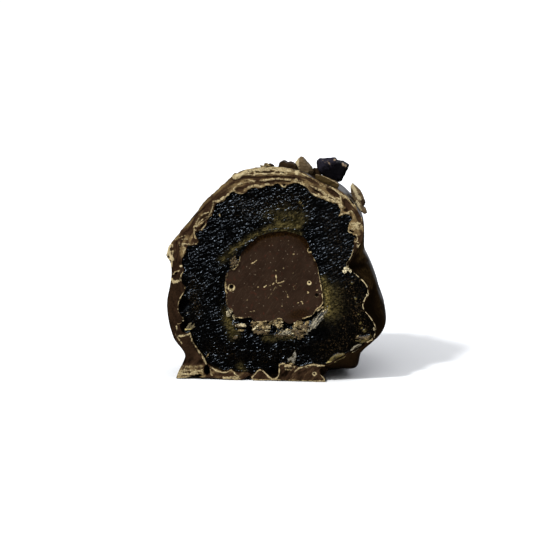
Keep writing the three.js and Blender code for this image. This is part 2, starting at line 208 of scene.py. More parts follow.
def lumps(x, y, z, size, seed):
    """Random lumps of about that size, from -1 to 1, that are the same on every run."""
    place = np.stack(np.broadcast_arrays(x, y, z), axis=-1).astype(float) / size
    low = np.floor(place).astype(np.int64)
    part = place - low
    ease = part * part * (3 - 2 * part)
    total = np.zeros(place.shape[:-1])
    for corner in np.ndindex(2, 2, 2):
        weight = np.prod(np.where(corner, ease, 1 - ease), axis=-1)
        key = (low + corner) @ np.array((73856093, 19349663, 83492791)) + seed * 7919
        key = (key ^ (key >> 13)) * 1274126177 & 0x7FFFFFFF
        key = (key ^ (key >> 15)) * 60493 & 0x7FFFFFFF
        total += weight * ((key >> 7 & 0xFFFF) / 32767.5 - 1)
    return total


def from_line(x, high, points):
    """Distance from each point of the cut to a line drawn through a few points of it."""
    nearest = np.full(np.shape(x), np.inf)
    for (x0, z0), (x1, z1) in zip(points, points[1:]):
        along = ((x - x0) * (x1 - x0) + (high - z0) * (z1 - z0)) / ((x1 - x0) ** 2 + (z1 - z0) ** 2)
        along = np.clip(along, 0, 1)
        nearest = np.minimum(nearest, np.hypot(x - lerp(x0, x1, along), high - lerp(z0, z1, along)))
    return nearest


def turned(x, high, tilt):
    """The same places along and across a direction that rises to the right by that many degrees."""
    c, s = math.cos(math.radians(tilt)), math.sin(math.radians(tilt))
    return x * c + high * s, high * c - x * s


def from_oval(x, high, oval_x, oval_high, half_long, half_wide, tilt):
    """0 in the middle of a tilted oval and 1 on its outline."""
    along, across = turned(x - oval_x, high - oval_high, tilt)
    return np.hypot(along / half_long, across / half_wide)


# Surfaces shared by the pieces

def underside_at(x, depth):
    """Height of the foot's underside, with its notch and its broken front."""
    notch = NOTCH_HEIGHT * hump(x, NOTCH_X, NOTCH_WIDTH) * np.maximum(0, 1 - depth / NOTCH_DEPTH)
    broken = np.interp(x, *np.array(FOOT_RISE).T) + FOOT_TEETH * lumps(x, 0, 0, 0.5, 4)
    return np.maximum(notch, broken * fade(depth, 0, FOOT_RISE_DEPTH))


def flesh_edge(degrees):
    """Radius where the flesh meets the coat at the cut, with its small teeth."""
    angle = np.radians(degrees)
    x, high = TEETH_RADIUS * np.cos(angle), TEETH_RADIUS * np.sin(angle)
    teeth = lumps(x, high, 0, 0.33, 3) + 0.8 * lumps(x, high, 0, 0.19, 55)
    ragged = between(degrees, 20, 30, 178, 190)
    return broken_edge(FLESH_OUTLINE, degrees) + ragged * FLESH_TEETH * teeth


def coat_outside(degrees, depth):
    """Places on the coat's outside: the broken edge, and a swelling, dimpled skin behind it."""
    angle = np.radians(degrees)
    settled = smooth(depth, 0, EDGE_DEPTH)
    swell = COAT_WAVE * settled * np.sin(5 * angle + 0.55 * depth) * np.cos(2 * angle - 0.3 * depth)
    edge = np.maximum(radius_at(COAT_EDGE, degrees), flesh_edge(degrees) + THIN_EDGE)
    flaked = between(degrees, 22, 40, 168, 178)
    skin_x, skin_z = SKIN_RADIUS * np.cos(angle), SKIN_RADIUS * np.sin(angle)
    teeth = lumps(skin_x, skin_z, 0.6 * depth, 0.5, 5)
    edge = edge + COAT_TEETH * flaked * teeth * fade(depth, 0.2, 1.2)
    uneven = 1 + 0.7 * lumps(skin_x, depth, skin_z, 2.6, 61) + 0.3 * lumps(skin_x, depth, skin_z, 1.3, 62)
    dimple = COAT_DIMPLE * smooth(depth, 5, 9) * uneven
    radius = lerp(edge, radius_at(COAT_BODY, degrees), settled) + swell - dimple
    share = depth / COAT_LENGTH
    x = radius * np.cos(angle) * fullness(share, SIDE_FULLNESS)
    rise = AXIS_HEIGHT + radius * np.sin(angle) - END_HEIGHT
    top, base = fullness(share, TOP_FULLNESS), fullness(share, BASE_FULLNESS)
    z = END_HEIGHT + rise * np.where(rise > 0, top, base)
    return x, np.maximum(z, underside_at(x, depth))


def axis_at(depth):
    return lerp(AXIS_HEIGHT, END_HEIGHT, (depth / COAT_LENGTH) ** 2)


def flesh_wall(degrees, depth):
    """Places on the wall between the flesh and the coat."""
    angle = np.radians(degrees)
    core = np.minimum(FLESH_RADIUS, radius_at(COAT_BODY, degrees) - COAT_WALL)
    radius = lerp(flesh_edge(degrees), core, smooth(depth, 0, EDGE_DEPTH))
    width = radius * fullness(depth / FLESH_LENGTH, FLESH_FULLNESS)
    return width * np.cos(angle), axis_at(depth) + width * np.sin(angle)


def filling_wall(degrees, depth, overlap=0.0):
    """Places on the wall between the filling and the flesh, or that far past it."""
    angle = np.radians(degrees)
    radius = broken_edge(FILLING_OUTLINE, degrees) + overlap
    radius = radius * fullness(depth / (FILLING_LENGTH + overlap), FILLING_FULLNESS)
    return radius * np.cos(angle), axis_at(depth) + radius * np.sin(angle)


def over_cut(face, start, end, share, at_start):
    """Places of a net that runs from start to end over the cut face, and keeps to one of them elsewhere."""
    return np.where(face, lerp(start, end, share), np.where(at_start, start, end))


# Working with objects

def deselect():
    bpy.ops.object.select_all(action="DESELECT")


def select_only(piece):
    deselect()
    piece.select_set(True)
    bpy.context.view_layer.objects.active = piece


def just_added(name):
    """The object that the last step added or left active, under its name."""
    piece = bpy.context.object
    piece.name = piece.data.name = name
    return piece


def points_of(piece, what="co"):
    values = np.empty(len(piece.data.vertices) * 3)
    piece.data.vertices.foreach_get(what, values)
    return values.reshape(-1, 3)


def seen_from_cut(piece):
    """A piece's points: to the right of the date's axis, behind the cut, and above the axis."""
    x, y, z = points_of(piece).T
    return x, y, z - AXIS_HEIGHT


def set_points(piece, x, y, z):
    places = np.stack(np.broadcast_arrays(x, y, z), axis=-1).astype(float)
    piece.data.vertices.foreach_set("co", places.ravel())
    piece.data.update()


def add_net(name, turns, rows):
    """A flat net to be wrapped round: returns it with each vertex's turn in degrees and its row."""
    deselect()
    bpy.ops.mesh.primitive_grid_add(x_subdivisions=turns, y_subdivisions=rows, size=1)
    net = just_added(name)
    x, y, _ = points_of(net).T
    return net, np.rint((x + 0.5) * turns) * (360 / turns), np.rint((y + 0.5) * rows).astype(int)


def close_net(net):
    """Joins the net's two sides and the ends that are drawn together, and turns its faces outward."""
    select_only(net)
    bpy.ops.object.mode_set(mode="EDIT")
    bpy.ops.mesh.select_all(action="SELECT")
    bpy.ops.mesh.remove_doubles(threshold=0.0005)
    bpy.ops.mesh.normals_make_consistent(inside=False)
    bpy.ops.object.mode_set(mode="OBJECT")


def paint(piece, **masks):
    """Stores masks from 0 to 1 on the piece's points, for its material."""
    count = len(piece.data.vertices)
    for name, values in masks.items():
        layer = piece.data.attributes.new(name, "FLOAT", "POINT")
        layer.data.foreach_set("value", np.clip(np.broadcast_to(values, count), 0, 1).astype(np.float32))


def finish_with(piece, kind, **settings):
    """Adds a modifier, sets it and applies it."""
    modifier = piece.modifiers.new(kind.title(), kind)
    for name, value in settings.items():
        setattr(modifier, name, value)
    bpy.context.view_layer.objects.active = piece
    bpy.ops.object.modifier_apply(modifier=modifier.name)


def roughen(piece, size, amount, seed):
    """Pushes the surface in and out in lumps of that size."""
    place, out = points_of(piece), points_of(piece, "normal")
    push = amount * lumps(*place.T, size, seed)
    set_points(piece, *(place + out * push[:, None]).T)


def join(pieces, name):
    deselect()
    for piece in pieces:
        piece.select_set(True)
    bpy.context.view_layer.objects.active = pieces[0]
    bpy.ops.object.join()
    return just_added(name)


def settle(piece, material, node, crease=None):
    """Sets a finished piece in the frame: in metres, inside the solids' box and riding on the body."""
    piece.data.transform(Matrix.Translation((0, CUT, 0)) @ Matrix.Scale(MM, 4))
    set_points(piece, *np.clip(points_of(piece), cad_low, cad_high).T)
    piece.data.materials.clear()
    piece.data.materials.append(material)
    select_only(piece)
    if crease:
        bpy.ops.object.shade_smooth_by_angle(angle=math.radians(crease))
    else:
        bpy.ops.object.shade_smooth()
    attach(piece, "root")
    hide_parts(node)


# Materials

def rgb(red, green, blue):
    """A colour as it shows on a screen, from 0 to 255, as the shader's linear light."""
    shown = np.array((red, green, blue)) / 255
    linear = np.where(shown <= 0.04045, shown / 12.92, ((shown + 0.055) / 1.055) ** 2.4)
    return (*linear, 1.0)


class Finish:
    """A material being put together, with short ways to add its nodes."""

    def __init__(self, name, roughness, specular=0.5, tint=(1, 1, 1, 1)):
        self.material = bpy.data.materials.new(name)
        self.material.use_nodes = True
        self.tree = self.material.node_tree
        self.shader = self.tree.nodes["Principled BSDF"]
        self.shader.inputs["Roughness"].default_value = roughness
        self.shader.inputs["Specular IOR Level"].default_value = specular
        self.shader.inputs["Specular Tint"].default_value = tint
        self.place = self.add("TexCoord").outputs["Object"]

    def add(self, kind, **settings):
        made = self.tree.nodes.new("ShaderNode" + kind)
        for name, value in settings.items():
            setattr(made, name, value)
        return made

    def put(self, socket, value):
        if isinstance(value, bpy.types.NodeSocket):
            self.tree.links.new(value, socket)
        else:
            socket.default_value = value

    def mask(self, name):
        return self.add("Attribute", attribute_name=name).outputs["Fac"]

    def masks(self, *names):
        return [self.mask(name) for name in names]

    def grain(self, size, detail=3.0, longer=(1, 1, 1), tilt=0, wavy=0.0):
        """Noise from 0 to 1 in lumps of that many millimetres, longer along axes tilted to the right."""
        mapped = self.add("Mapping", vector_type="TEXTURE")
        self.put(mapped.inputs["Vector"], self.place)
        mapped.inputs["Scale"].default_value = longer
        mapped.inputs["Rotation"].default_value = (0, math.radians(-tilt), 0)
        made = self.add("TexNoise")
        self.put(made.inputs["Vector"], mapped.outputs["Vector"])
        made.inputs["Scale"].default_value = 1 / (size * MM)
        made.inputs["Detail"].default_value = detail
        made.inputs["Distortion"].default_value = wavy
        return made.outputs["Fac"]

    def dots(self, spacing):
        """Distance to scattered points, as a share of their spacing in millimetres, and their colours."""
        made = self.add("TexVoronoi")
        self.put(made.inputs["Vector"], self.place)
        made.inputs["Scale"].default_value = 1 / (spacing * MM)
        return made.outputs["Distance"], made.outputs["Color"]

    def sum(self, first, second, operation="ADD"):
        made = self.add("Math", operation=operation)
        self.put(made.inputs[0], first)
        self.put(made.inputs[1], second)
        return made.outputs["Value"]

    def times(self, first, second):
        return self.sum(first, second, "MULTIPLY")

    def step(self, value, low, high, start=0.0, end=1.0):
        """A smooth step from start to end as the value goes from low to high."""
        made = self.add("MapRange", interpolation_type="SMOOTHSTEP")
        sockets = "Value", "From Min", "From Max", "To Min", "To Max"
        for name, given in zip(sockets, (value, low, high, start, end)):
            self.put(made.inputs[name], given)
        return made.outputs["Result"]

    def mix(self, share, first, second):
        made = self.add("Mix", data_type="RGBA")
        for socket, value in zip((made.inputs[0], made.inputs[6], made.inputs[7]), (share, first, second)):
            self.put(socket, value)
        return made.outputs[2]

    def patchy(self, mask, noise, amount, low, high):
        """A mask whose edge is broken up by noise."""
        return self.step(self.sum(mask, self.times(self.sum(noise, -0.5), amount)), low, high)

    def bump(self, height, depth):
        """Fine relief of about that depth in millimetres."""
        made = self.add("Bump")
        made.inputs["Distance"].default_value = depth * MM
        self.put(made.inputs["Height"], height)
        self.put(self.shader.inputs["Normal"], made.outputs["Normal"])

    def colour(self, value):
        self.put(self.shader.inputs["Base Color"], value)

    def roughness(self, value):
        self.put(self.shader.inputs["Roughness"], value)


def chocolate_finish():
    """Satin skin outside, dull brown where it is cut, tan and crumbly where it is flaked."""
    made = Finish("dark chocolate", 0.6, 0.0)
    cut, tan, tone, dark = made.masks("cut", "tan", "tone", "dark")
    pale, dull, worn, foot = made.masks("pale", "dull", "worn", "foot")
    cloud, grit, dust = made.grain(0.9), made.grain(0.22, 5), made.grain(0.14, 2)
    skin = made.mix(cloud, rgb(19, 12, 6), rgb(38, 26, 14))
    scuffed = made.patchy(made.times(worn, 0.7), made.grain(0.4, 4), 1.8, 0.2, 1.0)
    skin = made.mix(scuffed, skin, rgb(54, 41, 22))
    shade = made.sum(tone, made.times(made.sum(grit, -0.5), 0.35))
    scratched = made.step(made.grain(0.12, 1, (14, 1, 1), 60), 0.52, 0.66)
    shade = made.sum(shade, made.times(made.times(scratched, foot), 0.2))
    brown = made.mix(made.step(shade, 0, 0.5), rgb(12, 7, 4), rgb(54, 38, 26))
    brown = made.mix(made.step(shade, 0.45, 1), brown, rgb(117, 97, 65))
    crumbly = made.patchy(tan, grit, 1.1, 0.2, 0.75)
    flaked = made.mix(made.step(grit, 0.36, 0.6), rgb(58, 44, 26), rgb(148, 128, 90))
    flaked = made.mix(made.times(made.step(dust, 0.48, 0.66), 0.7), flaked, rgb(196, 180, 139))
    flaked = made.mix(made.times(pale, 0.6), flaked, rgb(210, 192, 150))
    body = made.mix(crumbly, made.mix(cut, skin, brown), flaked)
    # The dark mask is painted shade, mixed to near black.
    made.colour(made.mix(dark, body, rgb(4, 3, 1)))
    made.shader.inputs["Coat IOR"].default_value = 1.35
    made.shader.inputs["Coat Roughness"].default_value = 0.3
    gloss = made.step(made.grain(1.7, 3), 0.35, 0.65, 0.5, 0.9)
    covered = made.step(made.sum(cut, dull), 0, 0.8, 1.0, 0.0)
    made.put(made.shader.inputs["Coat Weight"], made.times(gloss, covered))
    ripple = made.times(made.grain(2.6, 2), made.step(cut, 0, 1, 0.9, 0.0))
    near, _ = made.dots(2.4)
    pinhole = made.times(made.step(near, 0.03, 0.07), made.step(cut, 0, 1, 0.3, 0.0))
    rough = made.sum(grit, made.times(dust, made.step(cut, 0, 1, 0.0, 0.6)))
    rough = made.times(rough, made.step(cut, 0, 1, 0.07, 1.0))
    made.bump(made.sum(rough, made.sum(ripple, pinhole)), 0.08)
    return made.material


def flesh_finish():
    """Nearly black, wet and grained, olive where light comes through, with crumbs and torn fibres in it."""
    made = Finish("moist date flesh", 0.25, 0.34, (0.72, 0.84, 1, 1))
    olive, brown, pit, crumb = made.masks("olive", "brown", "pit", "crumb")
    fibre, grained, soft = made.masks("fibre", "grained", "soft")
    cloud, grit, dust = made.grain(0.8), made.grain(0.3, 5), made.grain(0.12, 3)
    scales = made.times(made.grain(0.33, 0, (2, 1, 1), GRAIN_TILT, 0.5), 0.65)
    scales = made.sum(scales, made.times(made.grain(0.21, 0, (1.5, 1, 1), GRAIN_TILT, 0.5), 0.5))
    strands = made.grain(0.2, 3, (1.8, 1, 1), GRAIN_TILT)
    body = made.mix(cloud, rgb(1, 1, 1), rgb(4, 3, 2))
    body = made.mix(made.times(brown, 0.8), body, rgb(6, 4, 1))
    body = made.mix(made.times(made.step(made.grain(0.17, 3), 0.56, 0.73), brown), body, rgb(80, 62, 35))
    amber = made.mix(made.step(strands, 0.38, 0.8), rgb(44, 37, 10), rgb(132, 116, 66))
    body = made.mix(made.patchy(olive, grit, 0.35, 0.0, 0.9), body, amber)
    dry = made.mix(made.step(dust, 0.38, 0.62), rgb(26, 18, 9), rgb(112, 92, 58))
    crumbly = made.patchy(crumb, dust, 0.7, 0.3, 0.6)
    body = made.mix(crumbly, body, dry)
    threads = made.step(made.grain(0.17, 1, (9, 1, 1), FIBRE_TILT), 0.38, 0.64)
    torn = made.mix(threads, rgb(20, 17, 10), rgb(148, 138, 114))
    body = made.mix(made.patchy(fibre, grit, 0.9, 0.3, 0.75), body, torn)
    # Torn holes and the hidden walls are painted near black: painted shade.
    made.colour(made.mix(pit, body, rgb(1, 1, 1)))
    dry_share = made.times(made.sum(made.sum(crumbly, fibre), pit), 0.4)
    dry_share = made.sum(dry_share, made.times(soft, 0.1))
    made.roughness(made.sum(made.step(cloud, 0.3, 0.7, 0.22, 0.28), dry_share))
    made.bump(made.times(scales, grained), 0.36)
    return made.material


def ganache_finish():
    """Dull brown, with tan specks, pale scratches, painted shadow along the upper edge, and dark moist
    patches.
    """
    made = Finish("ganache", 0.6, 0.02)
    tan, dark, moist = made.masks("tan", "dark", "moist")
    cloud, grit = made.grain(1.8), made.grain(0.2, 4)
    near, pick = made.dots(0.62)
    body = made.mix(made.step(cloud, 0.35, 0.65), rgb(38, 26, 18), rgb(45, 32, 23))
    body = made.mix(made.times(made.step(grit, 0.55, 0.75), 0.3), body, rgb(66, 50, 38))
    blush = made.times(made.step(made.grain(0.6, 4), 0.56, 0.7), made.step(cloud, 0.4, 0.6, 0.2, 0.6))
    body = made.mix(blush, body, rgb(66, 34, 24))
    specks = made.times(made.step(near, 0.05, 0.14, 1.0, 0.0), made.step(pick, 0.3, 0.8))
    body = made.mix(specks, body, rgb(128, 114, 94))
    near, pick = made.dots(0.33)
    specks = made.times(made.step(near, 0.1, 0.22, 1.0, 0.0), made.step(pick, 0.5, 0.8))
    body = made.mix(made.times(specks, 0.8), body, rgb(100, 84, 66))
    scratched = made.step(made.grain(0.09, 2, (16, 1, 1), 56), 0.58, 0.7)
    body = made.mix(made.times(scratched, 0.16), body, rgb(92, 76, 62))
    # moist: painted shadow along the upper edge, and the dark moist colour at the right and lower right.
    body = made.mix(moist, body, made.mix(made.step(grit, 0.4, 0.7), rgb(21, 10, 2), rgb(46, 28, 8)))
    crumbly = made.patchy(tan, grit, 0.9, 0.3, 0.7)
    flaked = made.mix(made.step(grit, 0.3, 0.65), rgb(84, 66, 38), rgb(176, 156, 114))
    flaked = made.mix(made.step(tan, 0.92, 1.0, 0.0, 0.7), flaked, rgb(212, 194, 148))
    body = made.mix(crumbly, body, flaked)
    # dark: painted shade in the bubbles' holes.
    made.colour(made.mix(dark, body, rgb(8, 5, 3)))
    made.bump(grit, 0.02)
    return made.material


def nib_finish(name, low, high, chipped):
    """Broken cocoa nib, grained and matte, lighter where chipped; its masks also carry painted light and
    shade.
    """
    made = Finish(name, 0.55, 0.06, (0.85, 0.88, 1, 1))
    grit, dust, streak = made.grain(0.3, 5), made.grain(0.16, 3), made.grain(0.27, 3, (3, 3, 1))
    body = made.mix(made.step(streak, 0.2, 0.8), low, high)
    body = made.mix(made.times(made.step(grit, 0.45, 0.75), 0.35), body, high)
    deep, bloom, chip = made.masks("deep", "bloom", "chip")
    # deep: painted shade, on the bent flake's hollow and lower right.
    body = made.mix(made.patchy(deep, grit, 1.0, 0.2, 0.9), body, rgb(44, 32, 20))
    # Painted sheen: lighter slate grey where light falls on the black nib's upper left.
    body = made.mix(made.patchy(bloom, grit, 1.2, 0.2, 0.9), body, rgb(36, 33, 42))
    made.colour(made.mix(made.patchy(chip, dust, 1.2, 0.3, 0.75), body, chipped))
    made.bump(grit, 0.08)
    return made.material


def crumb_finish():
    """Dry crumbs of flaked chocolate and filling, from brown to almost white."""
    made = Finish("crumbs", 0.7, 0.1)
    pale = made.mask("pale")
    grit = made.grain(0.2, 5)
    body = made.mix(made.step(pale, 0.0, 0.5), rgb(36, 24, 13), rgb(158, 138, 96))
    body = made.mix(made.step(pale, 0.5, 1.0), body, rgb(226, 212, 172))
    made.colour(made.mix(made.times(made.step(grit, 0.4, 0.58, 1.0, 0.0), 0.8), body, rgb(56, 40, 22)))
    made.bump(grit, 0.1)
    return made.material


def skin_finish():
    """Slivers of date skin: thin, moist and greyish olive, bright where their torn edge catches light."""
    made = Finish("date skin", 0.3, 0.25)
    lit, pale = made.masks("lit", "pale")
    streak, grit = made.grain(0.15, 3, (4, 4, 1), 35), made.grain(0.18, 4)
    body = made.mix(made.step(streak, 0.35, 0.65), rgb(32, 27, 12), rgb(98, 84, 44))
    body = made.mix(made.times(pale, made.step(streak, 0.4, 0.6)), body, rgb(166, 162, 152))
    made.colour(made.mix(made.patchy(lit, grit, 0.6, 0.3, 0.8), body, rgb(190, 172, 112)))
    made.bump(grit, 0.05)
    return made.material


# The coat: its wall round the flesh, the broken edge at the cut and the outside to the rounded end

